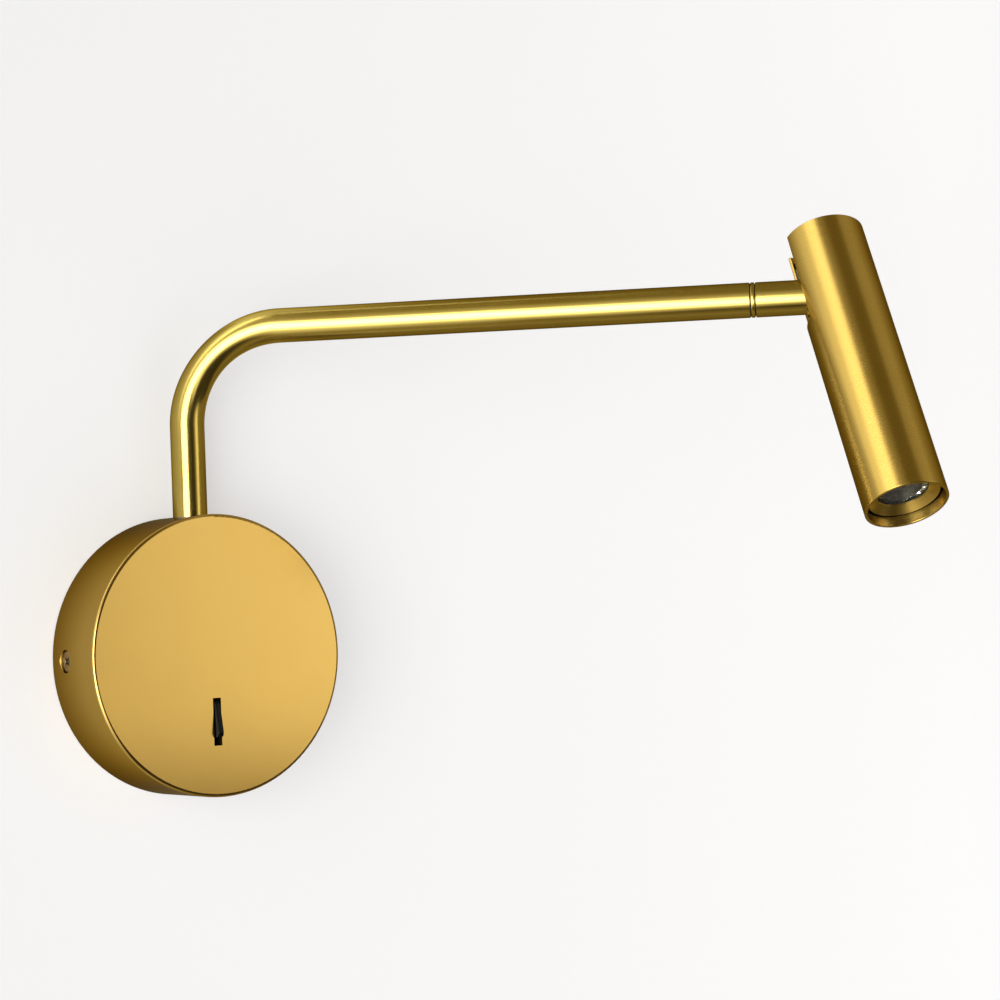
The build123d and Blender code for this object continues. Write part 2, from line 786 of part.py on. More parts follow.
with BuildPart() as swivel_ring:
    with BuildSketch(ring_plane):
        Circle(tube_radius)
        Circle(swivel_screw_radius, mode=Mode.SUBTRACT)
    extrude(amount=ring_thickness)
    with BuildSketch(ring_plane):
        Circle(roll_peg_orbit + roll_peg_radius + groove_margin)
        Circle(roll_peg_orbit - roll_peg_radius - groove_margin, mode=Mode.SUBTRACT)
        with BuildLine():
            bridge = CenterArc((0, 0), tube_radius, -bridge_half, 2 * bridge_half)
            Line(bridge @ 1, (0, 0))
            Line((0, 0), bridge @ 0)
        make_face(mode=Mode.SUBTRACT)
    extrude(amount=roll_groove_depth, mode=Mode.SUBTRACT)

with BuildPart() as ring_washer:
    with BuildSketch(ring_plane):
        Circle(ring_washer_radius)
        Circle(swivel_screw_radius, mode=Mode.SUBTRACT)
    extrude(amount=washer_slack - ring_gap)

with BuildPart() as ring_gasket:
    with BuildSketch(ring_plane):
        Circle(gasket_outer_radius)
        Circle(gasket_inner_radius, mode=Mode.SUBTRACT)
    extrude(amount=washer_slack - ring_gap)

with BuildPart() as swivel_screw:
    with BuildSketch(reach_plane.offset(swivel_screw_start)):
        Circle(swivel_screw_radius)
        Circle(swivel_screw_bore, mode=Mode.SUBTRACT)
    extrude(amount=ring_end + swivel_screw_grip - swivel_screw_start)

with BuildPart() as swivel_spring_washer:
    with BuildSketch(reach_plane.offset(plug_start - washer_slack)):
        Circle(swivel_washer_radius)
        Circle(swivel_screw_radius, mode=Mode.SUBTRACT)
    extrude(amount=washer_slack - swivel_washer)

with BuildPart() as swivel_nut:
    with BuildSketch(reach_plane.offset(swivel_nut_start)):
        RegularPolygon(swivel_nut_flats / 2, 6, major_radius=False)
        Circle(swivel_screw_radius, mode=Mode.SUBTRACT)
    extrude(amount=swivel_nut_height)

# ---------------------------------------------------------------- knuckle
# A round neck that ends in a flat tongue, forked beyond the pivot for the lead.
eye_radius = tube_radius

with BuildPart() as knuckle:
    with BuildSketch(reach_plane.offset(knuckle_start)):
        Circle(tube_radius)
    extrude(amount=arm_reach - knuckle_start)
    chamfer(knuckle.edges().sort_by(Axis(arm_corner, reach_way))[0], knuckle_chamfer)
    with BuildSketch(reach_plane.offset(ring_end)):
        Circle(neck_radius)
    extrude(amount=neck_length)
    with BuildSketch(pivot_plane):
        Circle(eye_radius)
    extrude(amount=tongue_thickness / 2, both=True)
    # flats of the tongue
    with BuildSketch(reach_plane.offset(arm_reach - shoulder_radius)):
        with GridLocations(2 * tube_diameter + tongue_thickness, 0, 2, 1):
            Rectangle(2 * tube_diameter, 2 * tube_diameter)
    extrude(amount=shoulder_radius + 2 * tube_radius, mode=Mode.SUBTRACT)
    # holes for the two pivot pins
    with BuildSketch(pivot_plane):
        Circle(pivot_pin_radius + running_fit)
    extrude(amount=tongue_thickness, both=True, mode=Mode.SUBTRACT)
    # bore for the swivel screw, then for the lead as far as the fork
    with BuildSketch(reach_plane.offset(ring_end)):
        Circle(swivel_screw_radius)
    extrude(amount=swivel_screw_grip, mode=Mode.SUBTRACT)
    with BuildSketch(reach_plane.offset(ring_end)):
        Circle(swivel_screw_bore)
    extrude(amount=arm_reach - ring_end, mode=Mode.SUBTRACT)
    with BuildSketch(reach_plane.offset(arm_reach - fork_depth)):
        Rectangle(lead_slot, 3 * tube_diameter)
    extrude(amount=fork_depth + 2 * tube_radius, mode=Mode.SUBTRACT)

with BuildPart() as pivot_pins:
    for side in (-1, 1):
        inner = side * (lead_slot / 2 + pivot_pin_inset)
        with BuildSketch(pivot_plane.offset(inner)):
            Circle(pivot_pin_radius)
        extrude(amount=side * (core_radius - pivot_pin_inset) - inner)

with BuildPart() as tilt_washers:
    for side in (-1, 1):
        with BuildSketch(pivot_plane.offset(side * boss_face)):
            Circle(eye_radius)
            Circle(pivot_pin_radius, mode=Mode.SUBTRACT)
        extrude(amount=-side * tilt_washer)

# ---------------------------------------------------------------- head
# local x of the head's planes points at the arm, local y along the pivot
rear_end = head_plane.offset(-head_rear)
slot_run = head_rear + slot_end
grub_origin = pivot + head_way * grub_from_pivot
grub_plane = Plane(origin=grub_origin, x_dir=head_way, z_dir=tilt_way)

with BuildPart() as head_sleeve:
    with BuildSketch(rear_end):
        Circle(head_radius)
        Circle(head_bore, mode=Mode.SUBTRACT)
    extrude(amount=head_rear + head_front)
    rims = head_sleeve.edges().filter_by(GeomType.CIRCLE).group_by(SortBy.RADIUS)[-1]
    fillet(rims, head_edge_radius)
    # slot for the neck, open at the rear end, with rounded corners at its closed end
    with BuildSketch(Plane(origin=pivot, x_dir=head_way, z_dir=slot_way)) as slot_outline:
        with Locations((slot_end - slot_run, 0)):
            Rectangle(2 * slot_run, 2 * slot_half)
        fillet(slot_outline.vertices().sort_by(Axis.X)[-2:], slot_corner)
    extrude(amount=2 * head_radius, mode=Mode.SUBTRACT)
    # hole for the grub screw, on the far side of the pivot
    with BuildSketch(grub_plane):
        Circle(grub_radius + slide_fit)
    extrude(amount=head_radius, mode=Mode.SUBTRACT)

with BuildPart() as head_core:
    with BuildSketch(head_plane.offset(-core_rear)):
        Circle(core_radius)
    extrude(amount=core_rear + core_front)
    # turned grooves, which lighten it
    for groove in range(core_groove_count):
        with BuildSketch(head_plane.offset(core_groove_start + groove * core_groove_pitch)):
            Circle(head_radius)
            Circle(core_radius - core_groove_depth, mode=Mode.SUBTRACT)
        extrude(amount=core_groove_width, mode=Mode.SUBTRACT)
    # room for the neck: square to the head on the arm's side, and in line at the rear
    with BuildSketch(head_plane.offset(-core_rear)):
        with Locations((head_radius - slot_half, 0)):
            Rectangle(2 * head_radius, 2 * slot_half)
    extrude(amount=core_rear, mode=Mode.SUBTRACT)
    with BuildSketch(head_plane):
        with Locations((head_radius, 0)):
            Rectangle(2 * head_radius, 2 * slot_half)
    extrude(amount=slot_end, mode=Mode.SUBTRACT)
    with BuildSketch(pivot_plane):
        Circle(eye_radius + eye_clearance)
    extrude(amount=slot_half, both=True, mode=Mode.SUBTRACT)
    # bosses that the tilt washers bear on
    for side in (-1, 1):
        with BuildSketch(pivot_plane.offset(side * boss_face)):
            Circle(eye_radius)
        extrude(amount=side * (slot_half + boss_root - boss_face))
    with BuildSketch(pivot_plane):
        Circle(pivot_pin_radius)
    extrude(amount=head_radius, both=True, mode=Mode.SUBTRACT)
    # bore for the lead
    with BuildSketch(head_plane):
        Circle(core_bore)
    extrude(amount=core_front, mode=Mode.SUBTRACT)
    with BuildSketch(grub_plane.offset(core_radius)):
        Circle(grub_radius)
    extrude(amount=-(grub_length - slide_fit), mode=Mode.SUBTRACT)
    # holes for the board's screws
    with BuildSketch(head_plane.offset(core_front)):
        with PolarLocations(board_screw_orbit, 2):
            Circle(board_screw_radius)
    extrude(amount=led_board_thickness - board_screw_length, mode=Mode.SUBTRACT)

with BuildPart() as grub_screw:
    with BuildSketch(grub_plane.offset(core_radius - grub_length + slide_fit)):
        Circle(grub_radius)
    extrude(amount=grub_length)
    with BuildSketch(grub_plane.offset(core_radius + slide_fit)):
        RegularPolygon(grub_socket / 2, 6, major_radius=False)
    extrude(amount=-grub_socket_depth, mode=Mode.SUBTRACT)

with BuildPart() as rear_cap:
    with BuildSketch(rear_end.offset(cap_recess)):
        Circle(core_radius)
        with Locations((head_radius - slot_half, 0)):
            Rectangle(2 * head_radius, 2 * slot_half, mode=Mode.SUBTRACT)
    extrude(amount=cap_thickness)

# ---------------------------------------------------------------- light source
with BuildPart() as led_board:
    with BuildSketch(head_plane.offset(core_front)):
        Circle(led_board_radius)
        with PolarLocations(board_screw_orbit, 2):
            Circle(board_screw_radius, mode=Mode.SUBTRACT)
    extrude(amount=led_board_thickness)

with BuildPart() as led_emitter:
    with BuildSketch(head_plane.offset(board_front)):
        Circle(emitter_radius)
    extrude(amount=emitter_thickness)

with BuildPart() as board_screws:
    with BuildSketch(head_plane.offset(board_front)):
        with PolarLocations(board_screw_orbit, 2):
            Circle(board_screw_head)
    extrude(amount=board_screw_head_height)
    with BuildSketch(head_plane.offset(board_front)):
        with PolarLocations(board_screw_orbit, 2):
            Circle(board_screw_radius)
    extrude(amount=-board_screw_length)

holder_bore = lens_front_radius - lens_flange + holder_bore_gap
holder_outer = head_bore - holder_outer_gap
with BuildPart() as lens_holder:
    with BuildSketch(head_section):
        Polygon(
            (holder_bore, board_front),
            (holder_outer, board_front),
            (holder_outer, bezel_back),
            (lens_front_radius, bezel_back),
            (lens_front_radius, lens_rim_back),
            (holder_bore, lens_rim_back),
            align=None,
        )
    revolve(axis=head_axis)

# moulded lens: a solid cone that gathers the light, with a pocket over the emitter
with BuildPart() as lens:
    with BuildSketch(head_section):
        Polygon(
            (0, lens_front - lens_height + lens_pocket_depth),
            (lens_pocket_radius, lens_front - lens_height + lens_pocket_depth),
            (lens_pocket_radius, lens_front - lens_height),
            (lens_rear_radius, lens_front - lens_height),
            (lens_front_radius - lens_flange, lens_rim_back),
            (lens_front_radius, lens_rim_back),
            (lens_front_radius, lens_front),
            (0, lens_front),
            align=None,
        )
    revolve(axis=head_axis)

bezel_bore = lens_front_radius + slide_fit
with BuildPart() as bezel_ring:
    with BuildSketch(head_section):
        Polygon(
            (bezel_bore, bezel_back),
            (core_radius, bezel_back),
            (core_radius, bezel_back + bezel_seat),
            (bezel_outer_radius, bezel_back + bezel_seat),
            (bezel_outer_radius, bezel_front),
            (bezel_inner_radius, bezel_front - bezel_cone_depth),
            (bezel_inner_radius, lens_front),
            (bezel_bore, lens_front),
            align=None,
        )
    revolve(axis=head_axis)

# ---------------------------------------------------------------- leads
# Each one is a tube along straight runs with arcs at their corners.


def lead(points, radii, diameter):
    """Return the builder of a lead that passes through the points."""
    with BuildPart() as tube:
        with BuildLine() as route:
            if radii:
                FilletPolyline(*points, radius=radii)
            else:
                Line(*points)
        with BuildSketch(Plane(origin=points[0], z_dir=Vector(points[1]) - Vector(points[0]))):
            Circle(diameter / 2)
        sweep(path=route.line)
    return tube


pole_neutral, pole_earth, pole_live = (tab_centre + pole * pole_pitch for pole in (-1, 0, 1))
block_bottom = block_top - block_height
clamp_end = block_middle - clamp_length / 4
live_tag_z = switch_z - tag_distance / 2
switched_tag_z = switch_z + tag_distance / 2
tag_end = switch_back - tag_length
lead_from_wall = tag_end - behind_tags
inside_case = driver_lower + driver_wall
live_low = live_tag_z - live_loop
neutral_low = block_bottom - neutral_loop
neutral_from_wall = block_face + neutral_before_block
neutral_entry, live_entry = mains_entries

live_lead = lead(
    [
        (pole_live, -channel_from_wall, clamp_end),
        (pole_live, -channel_from_wall, live_low),
        (switch_x, -lead_from_wall, live_low),
        (switch_x, -lead_from_wall, live_tag_z),
        (switch_x, -tag_end, live_tag_z),
    ],
    [wide_arc, tight_arc, tight_arc],
    lead_diameter,
)
switched_lead = lead(
    [
        (switch_x, -tag_end, switched_tag_z),
        (switch_x, -lead_from_wall, switched_tag_z),
        (live_entry, -lead_from_wall - switched_step, switched_tag_z + switched_rise),
        (live_entry, -entry_from_wall, driver_lower - switched_turn),
        (live_entry, -entry_from_wall, inside_case),
    ],
    [tight_arc, wide_arc, wide_arc],
    lead_diameter,
)
neutral_lead = lead(
    [
        (pole_neutral, -channel_from_wall, clamp_end),
        (pole_neutral, -channel_from_wall, neutral_low),
        (pole_neutral + neutral_aside, -neutral_from_wall, neutral_low),
        (neutral_entry, -neutral_from_wall, driver_lower - neutral_bend),
        (neutral_entry, -entry_from_wall, driver_lower - neutral_turn),
        (neutral_entry, -entry_from_wall, inside_case),
    ],
    [neutral_arc, neutral_arc, neutral_arc, neutral_last_arc],
    lead_diameter,
)
earth_lead = lead(
    [
        (earth_x, -plate_thickness - earth_head_height, earth_z),
        (earth_x, -inside_depth / 2 + earth_bend_back, earth_z),
        (earth_x, -inside_depth / 2 - earth_bend_front, earth_stud_z),
        (earth_x, -inside_depth + earth_stud_height, earth_stud_z),
    ],
    [wide_arc, wide_arc],
    lead_diameter,
)
lamp_turn = driver_length / 2 + lamp_loop
lamp_level = spigot_bottom - lamp_drop
lamp_lead = lead(
    [
        (0, -stem_offset, spigot_bottom),
        (0, -stem_offset, lamp_level),
        (lamp_turn, -stem_offset, lamp_level),
        (lamp_turn, -entry_from_wall, case_middle),
        (driver_length / 2 - driver_wall, -entry_from_wall, case_middle),
    ],
    lamp_arcs,
    arm_lead_diameter,
)

with BuildPart() as arm_lead:
    with BuildLine() as arm_lead_line:
        upright = Line((0, -stem_offset, spigot_bottom), stem_top)
        turn = TangentArc(stem_top, arm_corner + reach_way * bend_radius, tangent=(0, 0, 1))
        Line(turn @ 1, arm_corner + reach_way * swivel_screw_start)
    with BuildSketch(stem_plane.offset(spigot_bottom)):
        Circle(arm_lead_diameter / 2)
    sweep(path=arm_lead_line.line)

knuckle_lead = lead(
    [arm_corner + reach_way * swivel_screw_start, pivot - reach_way * lead_parting],
    None,
    arm_lead_diameter,
)
head_lead = lead(
    [pivot + head_way * lead_parting, pivot + head_way * core_front],
    None,
    arm_lead_diameter,
)

# ---------------------------------------------------------------- files
pieces = {
    "canopy_cover": canopy_cover,
    "wall_plate": wall_plate,
    "side_screws": side_screws,
    "cable_grommet": cable_grommet,
    "terminal_block": terminal_block,
    "terminal_clamps": terminal_clamps,
    "terminal_screws": terminal_screws,
    "block_screw": block_screw,
    "earth_screw": earth_screw,
    "earth_stud": earth_stud,
    "swivel_saddle": swivel_saddle,
    "swivel_bush": swivel_bush,
    "stop_peg": stop_peg,
    "switch_body": switch_body,
    "switch_studs": switch_studs,
    "switch_nuts": switch_nuts,
    "switch_tags": switch_tags,
    "rocker": rocker,
    "rocker_pin": rocker_pin,
    "driver_case": driver_case,
    "driver_lid": driver_lid,
    "driver_board": driver_board,
    "driver_pad_foam": driver_pad_foam,
    "arm_tube": arm_tube,
    "arm_foot": arm_foot,
    "foot_washer": foot_washer,
    "stop_washer": stop_washer,
    "foot_spring_washer": foot_spring_washer,
    "foot_nut": foot_nut,
    "arm_end_plug": arm_end_plug,
    "roll_peg": roll_peg,
    "swivel_ring": swivel_ring,
    "ring_washer": ring_washer,
    "ring_gasket": ring_gasket,
    "swivel_screw": swivel_screw,
    "swivel_spring_washer": swivel_spring_washer,
    "swivel_nut": swivel_nut,
    "knuckle": knuckle,
    "pivot_pins": pivot_pins,
    "tilt_washers": tilt_washers,
    "head_sleeve": head_sleeve,
    "head_core": head_core,
    "rear_cap": rear_cap,
    "grub_screw": grub_screw,
    "led_board": led_board,
    "led_emitter": led_emitter,
    "board_screws": board_screws,
    "lens_holder": lens_holder,
    "lens": lens,
    "bezel_ring": bezel_ring,
    "live_lead": live_lead,
    "switched_lead": switched_lead,
    "neutral_lead": neutral_lead,
    "earth_lead": earth_lead,
    "lamp_lead": lamp_lead,
    "arm_lead": arm_lead,
    "knuckle_lead": knuckle_lead,
    "head_lead": head_lead,
}

os.makedirs("parts", exist_ok=True)
for name, piece in pieces.items():
    piece.part.label = name
    export_step(piece.part, f"parts/{name}.step")
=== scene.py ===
"""Bedside wall reading lamp: the looks of its pieces, the wall behind it, the lights and the camera.

Lengths are in metres. The wall is the XZ plane, the lamp stands out from it along -Y and +Z is up.
"""

from functools import reduce
from math import atan2, cos, degrees, pi, radians, sin, sqrt
from random import Random

import bmesh
import bpy
from bmesh.types import BMEdge, BMVert
from bpy.props import FloatProperty, FloatVectorProperty, PointerProperty
from mathutils import Matrix, Vector


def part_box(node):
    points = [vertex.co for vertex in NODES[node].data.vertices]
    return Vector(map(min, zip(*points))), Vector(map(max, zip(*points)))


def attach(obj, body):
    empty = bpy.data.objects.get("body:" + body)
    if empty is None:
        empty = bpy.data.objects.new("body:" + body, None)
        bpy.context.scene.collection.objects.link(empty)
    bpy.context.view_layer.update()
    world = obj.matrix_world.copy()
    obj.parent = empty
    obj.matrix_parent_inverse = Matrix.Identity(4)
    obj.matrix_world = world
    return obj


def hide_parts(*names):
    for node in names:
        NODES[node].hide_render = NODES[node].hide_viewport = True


bl_info = {
    "name": "Wall reading lamp",
    "version": (1, 0, 0),
    "blender": (4, 5, 0),
    "location": "3D View > Sidebar > Lamp",
    "description": "Dresses the pieces of a bedside wall reading lamp and sets its stage",
    "category": "Object",
}

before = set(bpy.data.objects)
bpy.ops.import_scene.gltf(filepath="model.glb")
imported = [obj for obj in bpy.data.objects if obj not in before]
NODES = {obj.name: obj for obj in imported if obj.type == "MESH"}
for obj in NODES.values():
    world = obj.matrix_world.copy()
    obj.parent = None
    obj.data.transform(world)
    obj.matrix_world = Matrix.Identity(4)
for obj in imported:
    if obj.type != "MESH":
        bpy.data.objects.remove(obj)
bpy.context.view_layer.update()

UP = Vector((0, 0, 1))
OUT = Vector((0, -1, 0))

TUBE_SEGMENTS, BEND_STEPS, STEM_STEPS, REACH_STEPS = 96, 40, 8, 16
HEAD_SEGMENTS, CORNER_STEPS = 160, 6
LENS_SEGMENTS, LENS_RINGS = 48, 4
RING_BORE = 0.003
GRAIN_WIDTH, GRAIN_LENGTH = 0.00035, 0.03

# The metals: pull of the lathe's grooves, and the tint that mirrored metal takes.
GROOVE_PULL, ACROSS_GROOVES = 0.85, 0.25
MIRRORED_TINT, MIRRORED_SHARE = (0.70, 0.66, 0.55), 0.85

# The stage: light tints, the wall's gap and hole, the floor, what the lights face, and the camera's place.
BRIGHT_TINT, DUSK_TINT = (0.97, 1.0, 0.97), (1.0, 0.82, 0.3)
WALL_GAP, WALL_HOLE, WALL_SPREAD = 0.0004, 0.047, 70
FLOOR_HALF, FLOOR_MIDDLE = 3.2, (0, -3.1, -0.9)
LAMP_MIDDLE = Vector((0.07, -0.09, 0.05))
EYE = Vector((-0.468257, -0.838115, 0.012684))
EYE_RIGHT = Vector((0.80623, -0.59027, -0.03961))
EYE_FORWARD = Vector((0.59155, 0.80522, 0.04106))


# ---------------------------------------------------------------- properties
def length(name, description, default):
    """Return a length property, in metres."""
    return FloatProperty(name=name, description=description, default=default, min=0.0, precision=5,
                         subtype="DISTANCE", unit="LENGTH")


def place(name, description, default):
    """Return a coordinate property, in metres."""
    return FloatProperty(name=name, description=description, default=default, precision=5, subtype="DISTANCE",
                         unit="LENGTH")


def turn(name, description, default):
    """Return an angle property, given in degrees."""
    return FloatProperty(name=name, description=description, default=radians(default), subtype="ANGLE",
                         unit="ROTATION")


def tint(name, description, default):
    """Return a colour property."""
    return FloatVectorProperty(name=name, description=description, default=default, size=3, min=0.0, max=1.0,
                               subtype="COLOR")


def share(name, description, default):
    """Return a property from 0 to 1."""
    return FloatProperty(name=name, description=description, default=default, min=0.0, max=1.0,
                         subtype="FACTOR")


class LampSizes(bpy.types.PropertyGroup):
    """Sizes of the lamp's visible pieces."""

    canopy_depth: length("Canopy depth", "Wall to the face of the canopy", 0.030)
    tube_radius: length("Tube radius", "Outside of the arm's tube", 0.0062)
    tube_wall: length("Tube wall", "Wall of the arm's tube", 0.001)
    stem_offset: length("Stem offset", "Wall to the stem's axis", 0.0125)
    stem_foot: length("Stem foot", "Height at which the tube starts, inside the canopy", 0.0420)
    bend_radius: length("Bend radius", "Centreline of the arm's bend", 0.035)
    arm_height: length("Arm height", "Axis of the reach above the canopy's centre", 0.117)
    arm_reach: length("Arm reach", "Stem axis to head axis", 0.235)
    ring_to_pivot: length("Ring to pivot", "Knuckle's full diameter starts here", 0.02965)
    neck_length: length("Neck length", "Dark line on the knuckle's side", 0.00025)
    ring_thickness: length("Ring thickness", "Ring between the two dark lines", 0.0013)
    ring_gap: length("Ring gap", "Dark line on the arm's side", 0.0004)
    head_radius: length("Head radius", "Outside of the head's tube", 0.0145)
    head_wall: length("Head wall", "Wall of the head's tube", 0.0011)
    head_rear: length("Head rear", "Tilt pivot to the rear end", 0.0245)
    head_front: length("Head front", "Tilt pivot to the lens end", 0.0865)
    bezel_radius: length("Bezel radius", "Outside of the bezel", 0.0124)
    bezel_recess: length("Bezel recess", "Head's rim to the bezel's edge", 0.0033)
    slot_half: length("Slot half width", "Half the width of the head's slot", 0.0065)
    slot_end: length("Slot end", "Tilt pivot to the slot's closed end", 0.00948)
    slot_corner: length("Slot corner", "Radius at the slot's closed end", 0.0025)
    lens_front: length("Lens front", "Tilt pivot to the lens's face", 0.0807)
    lens_height: length("Lens height", "Depth of the lens", 0.0104)
    lens_radius: length("Lens radius", "Outside of the lens's flange", 0.0104)
    lens_window: length("Lens window", "Pebbled middle of the lens", 0.0066)
    lens_trough: length("Lens trough", "Facets around the lens's middle, behind its face", 0.0022)
    lens_rear_radius: length("Lens rear radius", "Lens beside the light source", 0.0056)
    lens_pocket_radius: length("Lens pocket radius", "Pocket over the light source", 0.0036)
    lens_pocket_depth: length("Lens pocket depth", "Pocket over the light source", 0.0044)
    screw_from_wall: length("Side screw from wall", "Wall to the side screws' axis", 0.0095)
    screw_seat: length("Side screw seat", "Canopy's axis to the side screws' seat", 0.04784)
    screw_top: length("Side screw top", "Canopy's axis to the top of the side screws", 0.0494)
    screw_radius: length("Side screw radius", "Head of a side screw", 0.0037)
    screw_shank: length("Side screw shank", "Radius of the thread", 0.002)
    screw_length: length("Side screw length", "Under the head", 0.008)
    recess_length: length("Recess length", "Across the cross recess", 0.0034)
    recess_width: length("Recess width", "One arm of the cross recess", 0.0008)
    recess_depth: length("Recess depth", "Depth of the cross recess", 0.0011)
    switch_x: place("Switch X", "Middle of the switch, from the canopy's axis", -0.0018)
    switch_z: place("Switch Z", "Middle of the switch, from the canopy's axis", -0.0234)
    rocker_thickness: length("Rocker thickness", "Width of the rocker", 0.0023)
    rocker_length: length("Rocker length", "Length of the rocker", 0.0138)
    rocker_top: length("Rocker top", "Pivot to the rocker's outer face", 0.0072)
    rocker_waist: length("Rocker waist", "Pivot to the rocker's full length", 0.0037)
    rocker_root: length("Rocker root", "Length of the rocker's inner end", 0.0056)
    rocker_tail: length("Rocker tail", "Pivot to the rocker's inner end", 0.0038)
    rocker_corner: length("Rocker corner", "Radius at the rocker's two ends", 0.002)
    rocker_rounding: length("Rocker rounding", "Radius along the rocker's edges", 0.0006)
    rocker_pivot: length("Rocker pivot", "Canopy's face to the rocker's pivot", 0.0055)
    rocker_tip: turn("Rocker tip", "Tipped from the middle of its travel", 11.5)
    swing: turn("Arm swing", "Reach turned out from the wall", 43.4)
    roll: turn("Head roll", "Head rolled about the reach", 26.8)
    tilt: turn("Head tilt", "Between the reach and the head's axis", 77.7)


class LampFinish(bpy.types.PropertyGroup):
    """Colours and finishes of the lamp."""

    brass: tint("Brass", "Satin brass of the arm and the head", (0.86, 0.57, 0.145))
    brass_deep: tint("Deep brass", "Darker passages of the brass", (0.80, 0.51, 0.11))
    canopy_brass: tint("Canopy brass", "Warmer brass of the canopy", (0.87, 0.56, 0.165))
    canopy_brass_deep: tint("Deep canopy brass", "Darker passages of the canopy", (0.81, 0.505, 0.13))
    canopy_brass_edge: tint("Canopy brass at its limbs", "Tint of the reflection at grazing angles",
                            (0.44, 0.36, 0.27))
    arm_brass: tint("Arm brass", "Paler brass of the arm", (0.86, 0.63, 0.165))
    arm_brass_deep: tint("Deep arm brass", "Darker passages of the arm", (0.80, 0.56, 0.125))
    brass_edge: tint("Brass at its limbs", "Tint of the reflection at grazing angles", (0.42, 0.33, 0.20))
    canopy_roughness: share("Canopy roughness", "Roughness of the canopy's satin face", 0.16)
    arm_roughness: share("Arm roughness", "Roughness of the arm", 0.20)
    head_roughness: share("Head roughness", "Roughness of the head", 0.27)


class StageLook(bpy.types.PropertyGroup):
    """Wall, floor, lights and camera."""

    wall_colour: tint("Wall", "Colour of the wall and the floor", (0.945, 0.94, 0.955))
    window_light: FloatProperty(name="Window", description="Radiance of the tall panel on the left",
                                default=5.6, min=0.0)
    side_light: FloatProperty(name="Side panel", description="Radiance of the broad panel on the right",
                              default=0.86, min=0.0)
    room_light: FloatProperty(name="Room", description="Radiance of the ceiling", default=0.14, min=0.0)
    lens: FloatProperty(name="Lens", description="Focal length in millimetres", default=94.504, min=1.0)


# ---------------------------------------------------------------- places on the lamp
class Places:
    """Directions and points that the pieces are placed by."""

    def __init__(self, sizes):
        swing, roll, tilt = sizes.swing, sizes.roll, sizes.tilt
        self.reach_way = Vector((cos(swing), -sin(swing), 0))
        outward = Vector((-sin(swing), -cos(swing), 0))
        self.hang_way = -UP * cos(roll) + outward * sin(roll)
        self.head_way = self.reach_way * cos(tilt) + self.hang_way * sin(tilt)
        self.tilt_way = self.reach_way.cross(self.head_way).normalized()
        self.slot_way = self.tilt_way.cross(self.head_way).normalized()
        self.corner = Vector((0, -sizes.stem_offset, sizes.arm_height))
        self.pivot = self.corner + self.reach_way * sizes.arm_reach
        self.tube_end = (sizes.arm_reach - sizes.ring_to_pivot - sizes.neck_length - sizes.ring_thickness
                         - sizes.ring_gap)
        self.head = axes(self.pivot, self.slot_way, self.head_way)
        self.reach = axes(self.corner, self.hang_way, self.reach_way)


def axes(origin, x_way, z_way):
    """Return the matrix that puts local X and Z on the two directions."""
    y_way = z_way.cross(x_way).normalized()
    matrix = Matrix((x_way, y_way, z_way)).transposed().to_4x4()
    matrix.translation = origin
    return matrix


# ---------------------------------------------------------------- mesh helpers
def only(kind, geom):
    """Return the elements of one kind."""
    return [g for g in geom if isinstance(g, kind)]


def extrude(bm, edges):
    """Extrude the edges in place, and return the new edges and vertices."""
    made = bmesh.ops.extrude_edge_only(bm, edges=edges)["geom"]
    return only(BMEdge, made), only(BMVert, made)


def bevel(bm, edges, width, segments):
    """Round the edges."""
    bmesh.ops.bevel(bm, geom=edges, offset=width, offset_type="OFFSET", affect="EDGES", segments=segments,
                    profile=0.5, material=-1, clamp_overlap=True)


def face_out(bm, way):
    """Point the faces outward. The function gives the outward direction at a point of the first face."""
    bmesh.ops.recalc_face_normals(bm, faces=bm.faces)
    first = bm.faces[:][0]
    if first.normal.dot(way(first.calc_center_median())) < 0:
        bmesh.ops.reverse_faces(bm, faces=bm.faces)


def link_object(name, data):
    """Return a new object of the data, in the scene."""
    made = bpy.data.objects.new(name, data)
    bpy.context.scene.collection.objects.link(made)
    return made


def mesh_object(name, bm, material):
    """Return a new object made from the bmesh, with the material."""
    mesh = bpy.data.meshes.new(name)
    bm.to_mesh(mesh)
    bm.free()
    mesh.materials.append(material)
    return link_object(name, mesh)


def turned(points, steps=128):
    """Return a bmesh of the closed profile of (radius, height) points, turned about local Z."""
    bm = bmesh.new()
    verts = [bm.verts.new((r, 0, z)) for r, z in points]
    for first, second in zip(verts, verts[1:]):
        bm.edges.new((first, second))
    bm.edges.new((verts[-1], verts[0]))
    bmesh.ops.spin(bm, geom=bm.verts[:] + bm.edges[:], cent=(0, 0, 0), axis=(0, 0, 1), dvec=(0, 0, 0),
                   angle=2 * pi, steps=steps, use_merge=True, use_normal_flip=False, use_duplicate=False)
    bmesh.ops.remove_doubles(bm, verts=bm.verts, dist=1e-7)
    bmesh.ops.dissolve_degenerate(bm, dist=1e-8, edges=bm.edges)
    bmesh.ops.recalc_face_normals(bm, faces=bm.faces)
    return bm


def soften(bm, width, angle=30, segments=3):
    """Round the edges that are sharper than the angle."""
    sharp = [e for e in bm.edges if len(e.link_faces) == 2 and degrees(e.calc_face_angle(0)) > angle]
    bevel(bm, sharp, width, segments)
    return bm


def add_piece(name, bm, finish, body, stands_for=(), matrix=None):
    """Make the piece from the bmesh, on its body, and return its object."""
    if matrix is not None:
        bmesh.ops.transform(bm, matrix=matrix, verts=bm.verts)
    for face in bm.faces:
        face.smooth = True
    piece = mesh_object(name, bm, finish)
    keep_flats(piece)
    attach(piece, body)
    if stands_for:
        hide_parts(*stands_for)
    return piece


